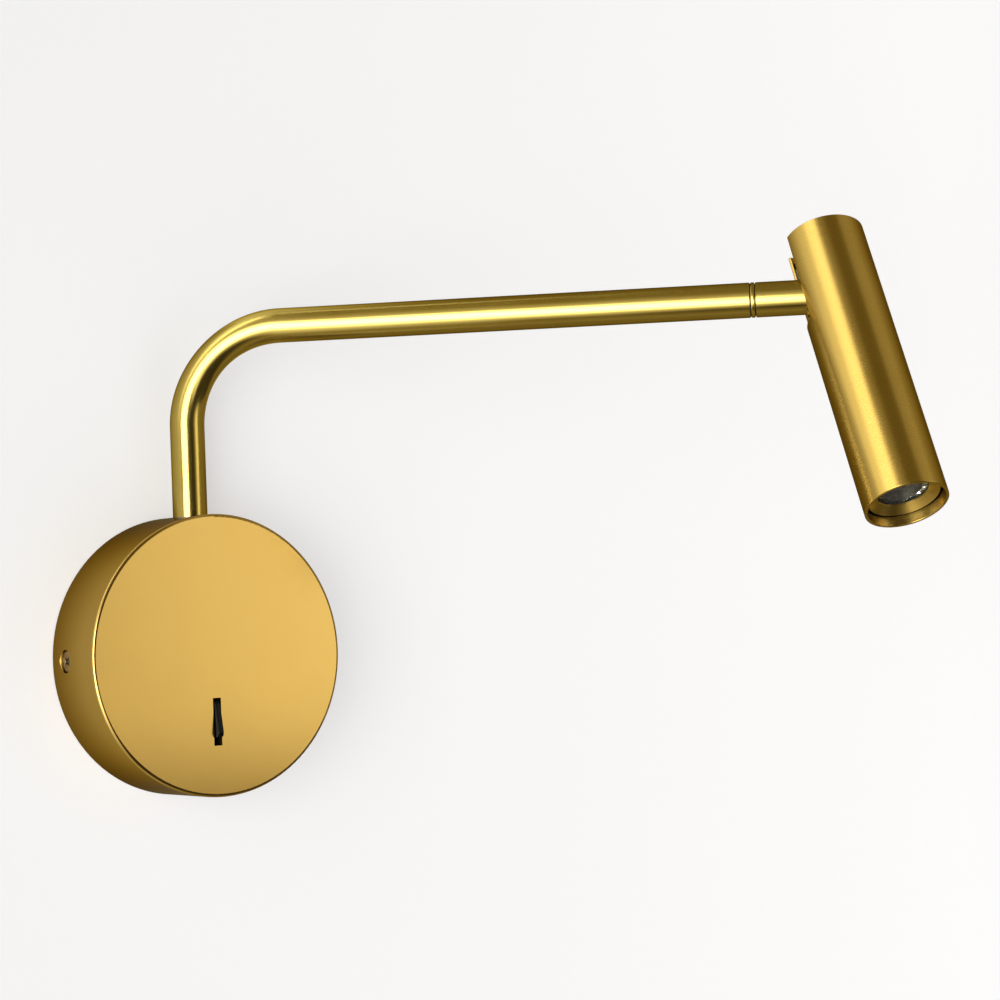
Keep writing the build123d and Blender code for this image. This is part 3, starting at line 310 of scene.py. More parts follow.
def keep_flats(piece):
    """Let the large faces rule the shading beside the rounded edges."""
    weighted = piece.modifiers.new("Flats", "WEIGHTED_NORMAL")
    weighted.keep_sharp = True
    weighted.weight = 80


def dress(finish, *names):
    """Give CAD nodes the finish."""
    for name in names:
        node = NODES[name]
        node.data.materials.clear()
        node.data.materials.append(finish)


# ---------------------------------------------------------------- material helpers
class Paint:
    """A material's node tree, with short calls to add to it."""

    def __init__(self, name, owner=None):
        self.material = owner or bpy.data.materials.new(name)
        self.material.use_nodes = True
        self.tree = self.material.node_tree
        self.tree.nodes.clear()
        outputs = {"WORLD": "ShaderNodeOutputWorld", "LIGHT": "ShaderNodeOutputLight"}
        self.output = self.add(outputs.get(self.material.id_type, "ShaderNodeOutputMaterial"))

    def add(self, kind, **settings):
        """Add a node. Names of settings that are sockets set or link the socket."""
        node = self.tree.nodes.new(kind)
        for key, value in settings.items():
            name = key.replace("_", " ")
            socket = next((s for s in node.inputs if s.name.lower() == name.lower() and s.enabled), None)
            if socket is None:
                setattr(node, key, value)
            else:
                self.put(value, socket)
        return node

    def link(self, start, end):
        """Join two sockets."""
        self.tree.links.new(start, end)

    def put(self, value, socket):
        """Link the value to the socket where it is a socket itself, or else set the socket to it."""
        if isinstance(value, bpy.types.NodeSocket):
            self.link(value, socket)
        elif socket.type == "RGBA":
            socket.default_value = (*value, 1)
        else:
            socket.default_value = value

    def local(self, matrix=None, cell=1):
        """Return object coordinates in the frame of the matrix, counted in cells of the size or sizes."""
        coordinates = self.add("ShaderNodeTexCoord").outputs["Object"]
        mapping = self.add("ShaderNodeMapping", vector_type="TEXTURE", Vector=coordinates)
        if matrix is not None:
            mapping.inputs["Location"].default_value = matrix.translation
            mapping.inputs["Rotation"].default_value = matrix.to_euler()
        mapping.inputs["Scale"].default_value = cell if isinstance(cell, tuple) else (cell,) * 3
        return mapping.outputs["Vector"]

    def noise(self, vector, detail=3.0, roughness=0.5):
        """Return the value of a noise over the vector."""
        return self.add("ShaderNodeTexNoise", Vector=vector, Scale=1.0, Detail=detail,
                        Roughness=roughness).outputs["Fac"]

    def part(self, kind, axis, **settings):
        """Return one output of a new node."""
        return self.add(kind, **settings).outputs[axis]

    def span(self, value, low, high, start=0.0, end=1.0):
        """Map the value from start..end to low..high."""
        return self.add("ShaderNodeMapRange", Value=value, From_Min=start, From_Max=end, To_Min=low,
                        To_Max=high).outputs["Result"]

    def math(self, operation, first, second=0.0):
        """Return first operation second."""
        node = self.tree.nodes.new("ShaderNodeMath")
        node.operation = operation
        for socket, value in zip(node.inputs, (first, second)):
            self.put(value, socket)
        return node.outputs[0]

    def product(self, *values):
        """Return the product of the values."""
        return reduce(lambda first, second: self.math("MULTIPLY", first, second), values)

    def total(self, *values):
        """Return the sum of the values."""
        return reduce(lambda first, second: self.math("ADD", first, second), values)

    def mix(self, factor, first, second):
        """Return the mix of two colours."""
        node = self.tree.nodes.new("ShaderNodeMix")
        node.data_type = "RGBA"
        for socket, value in zip((node.inputs[n] for n in (0, 6, 7)), (factor, first, second)):
            self.put(value, socket)
        return node.outputs[2]

    def bump(self, height, strength, distance):
        """Return a normal that the height disturbs."""
        return self.part("ShaderNodeBump", "Normal", Height=height, Strength=strength, Distance=distance)

    def shader_mix(self, factor, first, second):
        """Return the node that mixes two shaders."""
        node = self.tree.nodes.new("ShaderNodeMixShader")
        self.put(factor, node.inputs[0])
        self.link(first.outputs[0], node.inputs[1])
        self.link(second.outputs[0], node.inputs[2])
        return node

    def mirrored(self, colour):
        """Return the colour, paler to glossy rays, so where another piece of metal mirrors it."""
        again = self.product(self.part("ShaderNodeLightPath", "Is Glossy Ray"), MIRRORED_SHARE)
        return self.mix(again, colour, MIRRORED_TINT)

    def grooves(self, matrix):
        """Return the direction that runs round the matrix's Z axis."""
        coordinates = self.add("ShaderNodeTexCoord").outputs["Object"]
        out = self.add("ShaderNodeVectorMath", operation="SUBTRACT")
        self.link(coordinates, out.inputs[0])
        out.inputs[1].default_value = matrix.translation
        round_way = self.add("ShaderNodeVectorMath", operation="CROSS_PRODUCT")
        round_way.inputs[0].default_value = matrix.col[2].xyz
        self.link(out.outputs[0], round_way.inputs[1])
        turned_way = self.add("ShaderNodeVectorTransform", vector_type="VECTOR", convert_from="OBJECT",
                              convert_to="WORLD")
        self.link(round_way.outputs[0], turned_way.inputs[0])
        return turned_way.outputs[0]

    def surface(self, **settings):
        """Add the principled shader, join it to the output and return it."""
        shader = self.add("ShaderNodeBsdfPrincipled", **settings)
        self.link(shader.outputs["BSDF"], self.output.inputs["Surface"])
        return shader


FINISHES = {}


def finish(name):
    """Return the finish that was made under the name."""
    return FINISHES[name]


def satin_brass(name, colours, roughness, place, cell, relief, grain=0.04, dark=None, turned_on=None):
    """Make lacquered brass with a fine grain, drawn out along the cell's longest side.

    The colours are its light, deep and limb tints. The place gives the coordinates. The function dark, if
    any,
    returns 1 where painted shade goes: there the metal is painted near black and rough, for the shade in gaps
    and recesses. With turned_on, the grooves of the lathe run round that frame's Z axis.
    """
    light, deep, limb = (tuple(colour) for colour in colours)
    paint = Paint(name)
    streaks = paint.noise(place(paint, cell), 4.0, 0.65)
    clouds = paint.noise(paint.local(None, 0.025))
    tone = paint.total(paint.span(clouds, -0.2, 0.2, 0.3, 0.7), paint.span(streaks, 0.3, 0.7, 0.3, 0.7))
    colour = paint.mix(tone, deep, light)
    rough = paint.total(paint.span(streaks, roughness - grain, roughness + grain, 0.3, 0.7),
                        paint.span(clouds, -0.015, 0.02, 0.3, 0.7))
    # Painted shade: where the mask gives 1, the brass is painted near black and rough.
    if dark:
        painted_shade = dark(paint)
        colour = paint.mix(painted_shade, colour, (0.012, 0.009, 0.006))
        rough = paint.math("MAXIMUM", rough, paint.product(painted_shade, 0.7))
    shader = paint.surface(Base_Color=paint.mirrored(colour), Metallic=1.0, Roughness=rough,
                           Normal=paint.bump(streaks, 1.0, relief))
    shader.inputs["Specular Tint"].default_value = (*limb, 1)
    if turned_on is not None:
        shader.inputs["Anisotropic"].default_value = GROOVE_PULL
        shader.inputs["Anisotropic Rotation"].default_value = ACROSS_GROOVES
        paint.link(paint.grooves(turned_on), shader.inputs["Tangent"])
    FINISHES[name] = paint.material


def around(matrix):
    """Return the function that gives coordinates in the frame of the matrix."""
    return lambda paint, cell: paint.local(matrix, cell)


def along_tube(paint, cell):
    """Return the coordinates that the arm's tube carries, whose Z runs along its centreline."""
    place = paint.part("ShaderNodeAttribute", "Vector", attribute_name="tube_place")
    return paint.part("ShaderNodeMapping", "Vector", vector_type="TEXTURE", Vector=place, Scale=cell)


def from_axis(paint, matrix):
    """Return the distance from the matrix's Z axis, and the height along it."""
    place = paint.add("ShaderNodeSeparateXYZ", Vector=paint.local(matrix))
    squares = [paint.product(place.outputs[axis], place.outputs[axis]) for axis in ("X", "Y")]
    return paint.math("SQRT", paint.total(*squares)), place.outputs["Z"]


def plain_metal(name, colour, roughness, cell, matrix=None, relief=0.000003, dark=None):
    """Make a turned or rolled metal with a fine grain."""
    paint = Paint(name)
    grain = paint.noise(paint.local(matrix, cell), 4.0, 0.6)
    clouds = paint.noise(paint.local(matrix, 0.006))
    deep = tuple(c * 0.82 for c in colour)
    shade = paint.mix(paint.span(paint.total(grain, clouds), 0.0, 1.0, 0.6, 1.4), deep, colour)
    # Painted shade: where the mask gives 1, the metal is painted near black.
    if dark:
        shade = paint.mix(dark(paint), shade, (0.02, 0.014, 0.01))
    paint.surface(Base_Color=paint.mirrored(shade), Metallic=1.0, Roughness=uneven(paint, grain, roughness),
                  Normal=paint.bump(grain, 1.0, relief))
    FINISHES[name] = paint.material


def uneven(paint, grain, roughness):
    """Return the roughness, a little lower or higher with the grain."""
    return paint.span(grain, roughness - 0.06, roughness + 0.08, 0.3, 0.7)


def moulded(name, colour, roughness, speck=0.0004, relief=0.000006, subsurface=0.0, gloss=0.5):
    """Make a moulded plastic with a fine spark-eroded texture."""
    paint = Paint(name)
    grain = paint.noise(paint.local(None, speck), 3.0, 0.55)
    clouds = paint.noise(paint.local(None, 0.009), 2.0)
    light = tuple(min(1.0, c * 1.12 + 0.002) for c in colour)
    shade = paint.mix(paint.span(clouds, 0.0, 1.0, 0.3, 0.7), colour, light)
    shader = paint.surface(Base_Color=shade, Roughness=uneven(paint, grain, roughness),
                           Normal=paint.bump(grain, 0.7, relief))
    shader.inputs["Specular IOR Level"].default_value = gloss
    shader.inputs["Subsurface Weight"].default_value = subsurface
    shader.inputs["Subsurface Scale"].default_value = 0.001
    FINISHES[name] = paint.material


# ---------------------------------------------------------------- operators
class LampOperator:
    """What the lamp's operators share."""

    bl_options = {"REGISTER", "UNDO"}

    @property
    def sizes(self):
        return bpy.context.scene.lamp_sizes

    @property
    def looks(self):
        return bpy.context.scene.lamp_finish

    @property
    def places(self):
        return Places(self.sizes)


class LAMP_OT_finishes(LampOperator, bpy.types.Operator):
    """Make the metals and plastics of the lamp."""

    bl_idname = "lamp.finishes"
    bl_label = "Finishes"

    def execute(self, context):
        looks, places, sizes = self.looks, self.places, self.sizes
        drawn = (GRAIN_WIDTH, GRAIN_WIDTH, GRAIN_LENGTH)

        def neck_shade(paint):
            """Return 1 in the neck beside the swivel ring, where the brass is painted near black as painted
            shade in the gap.
            """
            radius, _ = from_axis(paint, places.reach)
            return paint.math("LESS_THAN", radius, sizes.tube_radius - 0.00035)

        def bore_shade(paint):
            """Return 1 in the head's tube, behind the bezel's edge, where the brass is painted near black as
            painted shade in the gap round the bezel.
            """
            radius, height = from_axis(paint, places.head)
            inside = paint.math("LESS_THAN", radius, sizes.head_radius - sizes.head_wall * 0.8)
            behind = paint.math("LESS_THAN", height, sizes.head_front - sizes.bezel_recess - 0.0002)
            return paint.product(inside, behind, paint.math("GREATER_THAN", height, sizes.head_front / 2))

        def rim(paint):
            """Return 1 on the bezel's outer wall, which is painted near black as painted shade in the gap
            inside the head's tube.
            """
            radius, _ = from_axis(paint, places.head)
            return paint.math("GREATER_THAN", radius, sizes.bezel_radius - 0.00005)

        def recess(paint):
            """Return 1 in the cross recesses of the side screws, which are painted near black as painted
            shade.
            """
            axis = axes(Vector((0, -sizes.screw_from_wall, 0)), UP, Vector((1, 0, 0)))
            radius, height = from_axis(paint, axis)
            inside = paint.math("LESS_THAN", paint.math("ABSOLUTE", height), sizes.screw_top - 0.00008)
            return paint.product(inside, paint.math("LESS_THAN", radius, sizes.screw_radius * 0.6))

        plain = (looks.brass, looks.brass_deep, looks.brass_edge)
        warm = (looks.canopy_brass, looks.canopy_brass_deep, looks.canopy_brass_edge)
        pale = (looks.arm_brass, looks.arm_brass_deep, looks.brass_edge)
        satin_brass("canopy_brass", warm, looks.canopy_roughness, around(None), 0.0004, 0.0000004, grain=0.01)
        satin_brass("arm_brass", pale, looks.arm_roughness, along_tube, drawn, 0.0000015)
        satin_brass("knuckle_brass", pale, looks.arm_roughness, around(places.reach), drawn, 0.0000015,
                    dark=neck_shade)
        satin_brass("head_brass", plain, looks.head_roughness, around(places.head), (0.006, 0.006, 0.0003),
                    0.0000001, grain=0.012, dark=bore_shade, turned_on=places.head)
        satin_brass("bezel_brass", plain, 0.38, around(places.head), (0.008, 0.008, 0.0002), 0.000003,
                    dark=rim, turned_on=places.head)
        plain_metal("fitting_brass", (0.75, 0.53, 0.24), 0.32, 0.0006)
        plain_metal("screw_brass", (0.72, 0.47, 0.16), 0.3, 0.0004)
        plain_metal("side_screw_brass", (0.70, 0.45, 0.20), 0.3, 0.0004, dark=recess)
        plain_metal("zinc_steel", (0.62, 0.63, 0.65), 0.36, 0.0009)
        plain_metal("core_aluminium", (0.72, 0.73, 0.74), 0.34, (0.004, 0.004, 0.0002), places.head)
        moulded("black_nylon", (0.006, 0.006, 0.006), 0.5, gloss=0.25)
        moulded("rocker_black", (0.002, 0.002, 0.002), 0.13, relief=0.0000003, gloss=0.13)
        moulded("white_nylon", (0.78, 0.77, 0.73), 0.5, subsurface=0.1)
        moulded("foam_grey", (0.16, 0.16, 0.17), 0.95, speck=0.0012, relief=0.0002)
        for name, colour, roughness in (
                ("driver_plastic", (0.74, 0.74, 0.72), 0.45), ("board_green", (0.02, 0.13, 0.06), 0.4),
                ("board_white", (0.82, 0.82, 0.8), 0.4), ("lead_brown", (0.11, 0.045, 0.02), 0.45),
                ("lead_blue", (0.02, 0.12, 0.42), 0.45), ("lead_green", (0.18, 0.36, 0.05), 0.45),
                ("lead_white", (0.8, 0.79, 0.76), 0.45)):
            moulded(name, colour, roughness)
        return {"FINISHED"}


class LAMP_OT_canopy(LampOperator, bpy.types.Operator):
    """Dress the canopy and the inner pieces of the whole lamp."""

    bl_idname = "lamp.canopy"
    bl_label = "Canopy"

    def execute(self, context):
        for name, nodes in (
                ("canopy_brass", "canopy_cover"),
                ("zinc_steel", "wall_plate earth_stud switch_studs switch_nuts foot_nut foot_spring_washer "
                               "stop_washer stop_peg swivel_spring_washer swivel_nut board_screws "
                               "grub_screw swivel_saddle block_screw roll_peg"),
                ("screw_brass", "earth_screw terminal_screws"),
                ("fitting_brass", "terminal_clamps switch_tags arm_foot arm_end_plug swivel_screw "
                                  "pivot_pins"),
                ("black_nylon", "cable_grommet switch_body foot_washer ring_washer ring_gasket tilt_washers "
                                "lens_holder rocker_pin"),
                ("white_nylon", "terminal_block swivel_bush"),
                ("driver_plastic", "driver_case driver_lid"),
                ("board_green", "driver_board"),
                ("board_white", "led_board"),
                ("lead_brown", "live_lead switched_lead"),
                ("lead_blue", "neutral_lead"),
                ("lead_green", "earth_lead"),
                ("lead_white", "lamp_lead arm_lead knuckle_lead head_lead")):
            dress(finish(name), *nodes.split())
        return {"FINISHED"}


class LAMP_OT_arm(LampOperator, bpy.types.Operator):
    """Bend the arm's tube from its stem to its reach."""

    bl_idname = "lamp.arm"
    bl_label = "Arm"

    def execute(self, context):
        sizes, places = self.sizes, self.places
        bm = bmesh.new()
        ring = bmesh.ops.create_circle(bm, segments=TUBE_SEGMENTS, radius=sizes.tube_radius)["verts"]
        foot = axes(Vector((0, -sizes.stem_offset, sizes.stem_foot)), places.reach_way, UP)
        bmesh.ops.transform(bm, matrix=foot, verts=ring)
        rise = sizes.arm_height - sizes.bend_radius - sizes.stem_foot
        edges, verts = draw_straight(bm, bm.edges[:], UP * rise, STEM_STEPS)
        centre = places.corner - UP * sizes.bend_radius + places.reach_way * sizes.bend_radius
        made = bmesh.ops.spin(bm, geom=edges + verts, cent=centre, axis=UP.cross(places.reach_way),
                              dvec=(0, 0, 0), angle=pi / 2, steps=BEND_STEPS, use_merge=False,
                              use_normal_flip=False, use_duplicate=False)["geom_last"]
        level = places.tube_end - sizes.bend_radius
        draw_straight(bm, only(BMEdge, made), places.reach_way * level, REACH_STEPS)
        face_out(bm, lambda point: point - foot.translation)
        flatten_bend(bm, centre, places, sizes)
        bmesh.ops.solidify(bm, geom=bm.faces[:], thickness=sizes.tube_wall)
        soften(bm, 0.00015, angle=40)
        mark_places(bm, centre, places, sizes)
        add_piece("swivel_arm", bm, finish("arm_brass"), "arm", ["arm_tube"])
        return {"FINISHED"}


def draw_straight(bm, edges, way, steps):
    """Draw the edges out along the way in even steps, and return the last edges and vertices."""
    for _ in range(steps):
        edges, verts = extrude(bm, edges)
        bmesh.ops.translate(bm, vec=way / steps, verts=verts)
    return edges, verts


def mark_places(bm, centre, places, sizes):
    """Give each vertex its place in the tube: X and Y from the centreline, and Z along it."""
    layer = bm.verts.layers.float_vector.new("tube_place")
    sideways = places.reach_way.cross(UP)
    radius, rise = sizes.bend_radius, centre.z - sizes.stem_foot
    for vert in bm.verts:
        out = vert.co - centre
        ahead, high = out.dot(places.reach_way), out.dot(UP)
        if high < 0:
            outward, along = -ahead - radius, rise + high
        elif ahead < 0:
            outward, along = sqrt(ahead * ahead + high * high) - radius, rise + radius * atan2(high, -ahead)
        else:
            outward, along = high - radius, rise + radius * pi / 2 + ahead
        vert[layer] = Vector((outward, out.dot(sideways), along))


def flatten_bend(bm, centre, places, sizes, depth=0.06):
    """Flatten the tube a little in the middle of its bend, as bending does."""
    for vert in bm.verts:
        out = vert.co - centre
        across, high = -out.dot(places.reach_way), out.dot(UP)
        if across > 0 and high > 0:
            share_of_bend = atan2(high, across) / (pi / 2)
            radial = sqrt(across * across + high * high)
            offset = radial - sizes.bend_radius
            shift = -offset * depth * sin(pi * share_of_bend) ** 2
            vert.co += (places.reach_way * -across + UP * high).normalized() * shift


class LAMP_OT_ring(LampOperator, bpy.types.Operator):
    """Turn the thin ring between the arm and the knuckle."""

    bl_idname = "lamp.ring"
    bl_label = "Swivel ring"

    def execute(self, context):
        sizes, places = self.sizes, self.places
        start = places.tube_end + sizes.ring_gap
        end = start + sizes.ring_thickness
        outer = sizes.tube_radius
        bm = soften(turned([(RING_BORE, start), (outer, start), (outer, end), (RING_BORE, end)]), 0.00015)
        add_piece("swivel_collar", bm, finish("knuckle_brass"), "knuckle", ["swivel_ring"],
                  places.reach)
        dress(finish("knuckle_brass"), "knuckle")
        return {"FINISHED"}


class LAMP_OT_head(LampOperator, bpy.types.Operator):
    """Make the head's slotted tube and dress what it holds."""

    bl_idname = "lamp.head"
    bl_label = "Head"

    def execute(self, context):
        sizes, places = self.sizes, self.places
        rear, front, radius, wall = -sizes.head_rear, sizes.head_front, sizes.head_radius, sizes.head_wall
        bm = bmesh.new()
        ring = bmesh.ops.create_circle(bm, segments=HEAD_SEGMENTS, radius=radius)["verts"]
        bmesh.ops.translate(bm, vec=(0, 0, rear), verts=ring)
        draw_straight(bm, bm.edges[:], Vector((0, 0, front - rear)), 1)
        half, end, corner = sizes.slot_half, sizes.slot_end, sizes.slot_corner
        arc = [radians(90 * (step + 0.5) / CORNER_STEPS) for step in range(CORNER_STEPS)]
        cuts = [((0, half, 0), (0, 1, 0)), ((0, 0, end), (0, 0, 1))]
        for angle in arc:
            spread = Vector((0, sin(angle), cos(angle)))
            cuts.append((Vector((0, half - corner, end - corner)) + spread * corner, spread))
        for side in (1, -1):
            for point, normal in cuts:
                point, normal = Vector(point), Vector(normal)
                point.y *= side
                normal.y *= side
                near = [f for f in bm.faces if f.calc_center_median().x > 0]
                edges = {e for f in near for e in f.edges}
                verts = {v for f in near for v in f.verts}
                bmesh.ops.bisect_plane(bm, geom=near + list(edges) + list(verts), dist=1e-7, plane_co=point,
                                       plane_no=normal)
        gone = [f for f in bm.faces if in_slot(f.calc_center_median(), half, end, corner)]
        bmesh.ops.delete(bm, geom=gone, context="FACES")
        bmesh.ops.dissolve_limit(bm, angle_limit=radians(0.05), verts=bm.verts, edges=bm.edges,
                                 use_dissolve_boundaries=True)
        face_out(bm, lambda point: point * Vector((1, 1, 0)))
        bmesh.ops.solidify(bm, geom=bm.faces[:], thickness=wall)
        soften(bm, 0.00022, angle=40)
        add_piece("head_tube", bm, finish("head_brass"), "head", ["head_sleeve"], places.head)
        dress(finish("core_aluminium"), "head_core")
        dress(finish("head_brass"), "rear_cap")
        return {"FINISHED"}


def in_slot(point, half, end, corner):
    """Tell whether a point of the head's tube lies in its slot."""
    across, along = abs(point.y), point.z
    if point.x < 0 or across > half or along > end:
        return False
    if across > half - corner and along > end - corner:
        return (across - half + corner) ** 2 + (along - end + corner) ** 2 < corner**2
    return True


class LAMP_OT_light(LampOperator, bpy.types.Operator):
    """Make the moulded lens and dress the bezel and the light source."""

    bl_idname = "lamp.light"
    bl_label = "Lens and bezel"

    def execute(self, context):
        sizes, places = self.sizes, self.places
        dress(finish("bezel_brass"), "bezel_ring")
        front, back = sizes.lens_front, sizes.lens_front - sizes.lens_height
        rim, edge, window = sizes.lens_radius, sizes.lens_radius - 0.0008, sizes.lens_window
        bm = bmesh.new()
        bmesh.ops.create_circle(bm, cap_ends=True, segments=LENS_SEGMENTS, radius=window)
        bmesh.ops.translate(bm, vec=(0, 0, front), verts=bm.verts)
        step = (edge - window) / (LENS_RINGS - 1)
        facets = [(window + step * n, front - sizes.lens_trough * (1 - 0.17 * n)) for n in range(LENS_RINGS)]
        draw_out(bm, facets, window)
        chance = Random(11)
        for vert in bm.verts:
            if vert.co.z < front - 1e-6:
                vert.co *= Vector((*[1 + chance.uniform(-0.02, 0.02)] * 2, 1))
                vert.co.z += chance.uniform(-0.0004, 0.0004)
        bmesh.ops.triangulate(bm, faces=[f for f in bm.faces if len(f.verts) == 4])
        draw_out(bm, [(edge, front), (rim, front), (rim, front - 0.0014), (edge, front - 0.0014),
                      (sizes.lens_rear_radius, back), (sizes.lens_pocket_radius, back),
                      (sizes.lens_pocket_radius, back + sizes.lens_pocket_depth)], facets[-1][0], cap=True)
        bmesh.ops.recalc_face_normals(bm, faces=bm.faces)
        lens = add_piece("moulded_lens", bm, self.lens_finish(), "head", ["lens"], places.head)
        lens.modifiers.clear()
        for face in lens.data.polygons:
            face.use_smooth = False
        paint = Paint("emitter_yellow")
        grain = paint.noise(paint.local(None, 0.0004))
        paint.surface(Base_Color=paint.mix(grain, (0.85, 0.62, 0.08), (0.9, 0.72, 0.2)), Roughness=0.35)
        dress(paint.material, "led_emitter")
        return {"FINISHED"}

    def lens_finish(self):
        """Return the finish of the lens: pebbled in the middle and painted dark there, as painted shade for
        the dim inside that clear plastic shows, with bright facets around it.
        """
        paint = Paint("moulded_lens")
        radius, _ = from_axis(paint, self.places.head)
        edge = self.sizes.lens_radius - 0.0011
        facet = paint.product(paint.math("GREATER_THAN", radius, self.sizes.lens_window * 1.02),
                              paint.math("LESS_THAN", radius, edge))
        pebbles = paint.part("ShaderNodeTexVoronoi", "Distance", Scale=1.0,
                             Vector=paint.local(self.places.head, 0.0005))
        cloud = paint.noise(paint.local(self.places.head, 0.0018))
        # Painted shade: the opaque lens is dark in its middle, for the dim inside seen through clear plastic.
        middle = paint.mix(paint.span(cloud, 0.0, 1.0, 0.35, 0.65), (0.016, 0.015, 0.013),
                           (0.065, 0.062, 0.054))
        height = paint.product(pebbles, paint.math("SUBTRACT", 1.0, facet))
        paint.surface(Base_Color=paint.mix(facet, middle, (0.86, 0.87, 0.86)), Metallic=facet,
                      Roughness=paint.span(facet, 0.42, 0.07), Normal=paint.bump(height, 0.6, 0.0001),
                      Specular_IOR_Level=0.3)
        return paint.material


def draw_out(bm, profile, radius, cap=False):
    """Draw the open edge of a turned bmesh out through the (radius, height) points, and cap it."""
    for next_radius, next_height in profile:
        _, verts = extrude(bm, [e for e in bm.edges if e.is_boundary])
        for vert in verts:
            vert.co.z = next_height
        ratio = next_radius / radius
        bmesh.ops.scale(bm, vec=(ratio, ratio, 1), verts=verts)
        radius = next_radius
    if cap:
        bmesh.ops.holes_fill(bm, edges=[e for e in bm.edges if e.is_boundary], sides=0)


class LAMP_OT_screws(LampOperator, bpy.types.Operator):
    """Turn the two side screws and press their cross recesses."""

    bl_idname = "lamp.screws"
    bl_label = "Side screws"

    def execute(self, context):
        sizes = self.sizes
        parts = []
        for side in (-1, 1):
            seat = Vector((side * sizes.screw_seat, -sizes.screw_from_wall, 0))
            parts.append((cross_screw(sizes), axes(seat, -OUT, Vector((side, 0, 0)))
                          @ Matrix.Rotation(radians(45), 4, "Z")))
        add_piece("cross_screws", gather(parts), finish("side_screw_brass"), "canopy", ["side_screws"])
        return {"FINISHED"}


def cross_screw(sizes):
    """Return a bmesh of a screw along local Z, with its seat at 0 and a cross recess in its rounded head."""
    top, radius, shank = sizes.screw_top - sizes.screw_seat, sizes.screw_radius, sizes.screw_shank
    reach, half, flat = sizes.recess_length / 2, sizes.recess_width / 2, sizes.screw_radius * 0.66
    bm = bmesh.new()
    bmesh.ops.create_circle(bm, cap_ends=True, segments=64, radius=flat)
    bmesh.ops.translate(bm, vec=(0, 0, top), verts=bm.verts)
    for way in ((1, 0, 0), (0, 1, 0)):
        for offset in (-reach, -half, half, reach):
            bmesh.ops.bisect_plane(bm, geom=bm.verts[:] + bm.edges[:] + bm.faces[:], dist=1e-8,
                                   plane_co=Vector(way) * offset, plane_no=way)
    cross = [f for f in bm.faces if in_cross(f.calc_center_median(), reach, half)]
    made = bmesh.ops.extrude_face_region(bm, geom=cross)["geom"]
    sunk = only(BMVert, made)
    bmesh.ops.translate(bm, vec=(0, 0, -sizes.recess_depth), verts=sunk)
    bmesh.ops.scale(bm, vec=(0.6, 0.6, 1), verts=sunk)
    bmesh.ops.delete(bm, geom=[f for f in cross if f.is_valid], context="FACES_ONLY")
    rounding = [(radius * 0.84, top - 0.00006), (radius * 0.94, top - 0.00018),
                (radius * 0.985, top - 0.00032), (radius, top - 0.0005)]
    draw_out(bm, rounding + [(radius, 0), (shank, 0), (shank, -sizes.screw_length)], flat, cap=True)
    bmesh.ops.recalc_face_normals(bm, faces=bm.faces)
    return bm


def in_cross(point, reach, half):
    """Tell whether a point of the screw's head lies in its recess."""
    x, y = abs(point.x), abs(point.y)
    return (x < reach and y < half) or (x < half and y < reach)


def gather(parts):
    """Return one bmesh of the (bmesh, matrix) parts."""
    whole = bmesh.new()
    for part, matrix in parts:
        bmesh.ops.transform(part, matrix=matrix, verts=part.verts)
        mesh = bpy.data.meshes.new("part")
        part.to_mesh(mesh)
        part.free()
        whole.from_mesh(mesh)
        bpy.data.meshes.remove(mesh)
    return whole


class LAMP_OT_rocker(LampOperator, bpy.types.Operator):
    """Shape the black rocker in the canopy's face."""

    bl_idname = "lamp.rocker"
    bl_label = "Rocker"

    def execute(self, context):
        sizes = self.sizes
        half, top, tip = sizes.rocker_length / 2, sizes.rocker_top, sizes.rocker_tip
        bm = bmesh.new()
        outline = [(-half, top), (-half, sizes.rocker_waist), (-sizes.rocker_root / 2, -sizes.rocker_tail),
                   (sizes.rocker_root / 2, -sizes.rocker_tail), (half, sizes.rocker_waist), (half, top)]
        verts = [bm.verts.new((x, y, -sizes.rocker_thickness / 2)) for x, y in outline]
        side = bm.faces.new(verts)
        made = bmesh.ops.extrude_face_region(bm, geom=[side], use_keep_orig=True)["geom"]
        bmesh.ops.translate(bm, vec=(0, 0, sizes.rocker_thickness), verts=only(BMVert, made))
        bmesh.ops.recalc_face_normals(bm, faces=bm.faces)
        corners = [e for e in bm.edges if all(v.co.y > top - 1e-6 for v in e.verts)
                   and abs(e.verts[0].co.x - e.verts[1].co.x) < 1e-6]
        bevel(bm, corners, sizes.rocker_corner, 10)
        rim = [e for e in bm.edges if abs(e.verts[0].co.z - e.verts[1].co.z) < 1e-6
               and min(v.co.y for v in e.verts) > sizes.rocker_waist - 1e-6]
        bevel(bm, rim, sizes.rocker_rounding, 5)
        pivot = Vector((sizes.switch_x, sizes.rocker_pivot - sizes.canopy_depth, sizes.switch_z))
        matrix = axes(pivot, Vector((0, sin(tip), cos(tip))), Vector((1, 0, 0)))
        add_piece("rocker_key", bm, finish("rocker_black"), "rocker", ["rocker"], matrix)
        return {"FINISHED"}


class LAMP_OT_pad(LampOperator, bpy.types.Operator):
    """Cut the foam pad between the driver and the canopy's face."""

    bl_idname = "lamp.pad"
    bl_label = "Foam pad"

    def execute(self, context):
        low, high = (Vector(corner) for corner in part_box("driver_pad_foam"))
        bm = bmesh.new()
        bmesh.ops.create_cube(bm, size=1)
        bmesh.ops.scale(bm, vec=high - low, verts=bm.verts)
        bmesh.ops.translate(bm, vec=(low + high) / 2, verts=bm.verts)
        bevel(bm, bm.edges[:], 0.0003, 3)
        pad = add_piece("driver_pad", bm, finish("foam_grey"), "canopy", ["driver_pad_foam"])
        return {"FINISHED"}


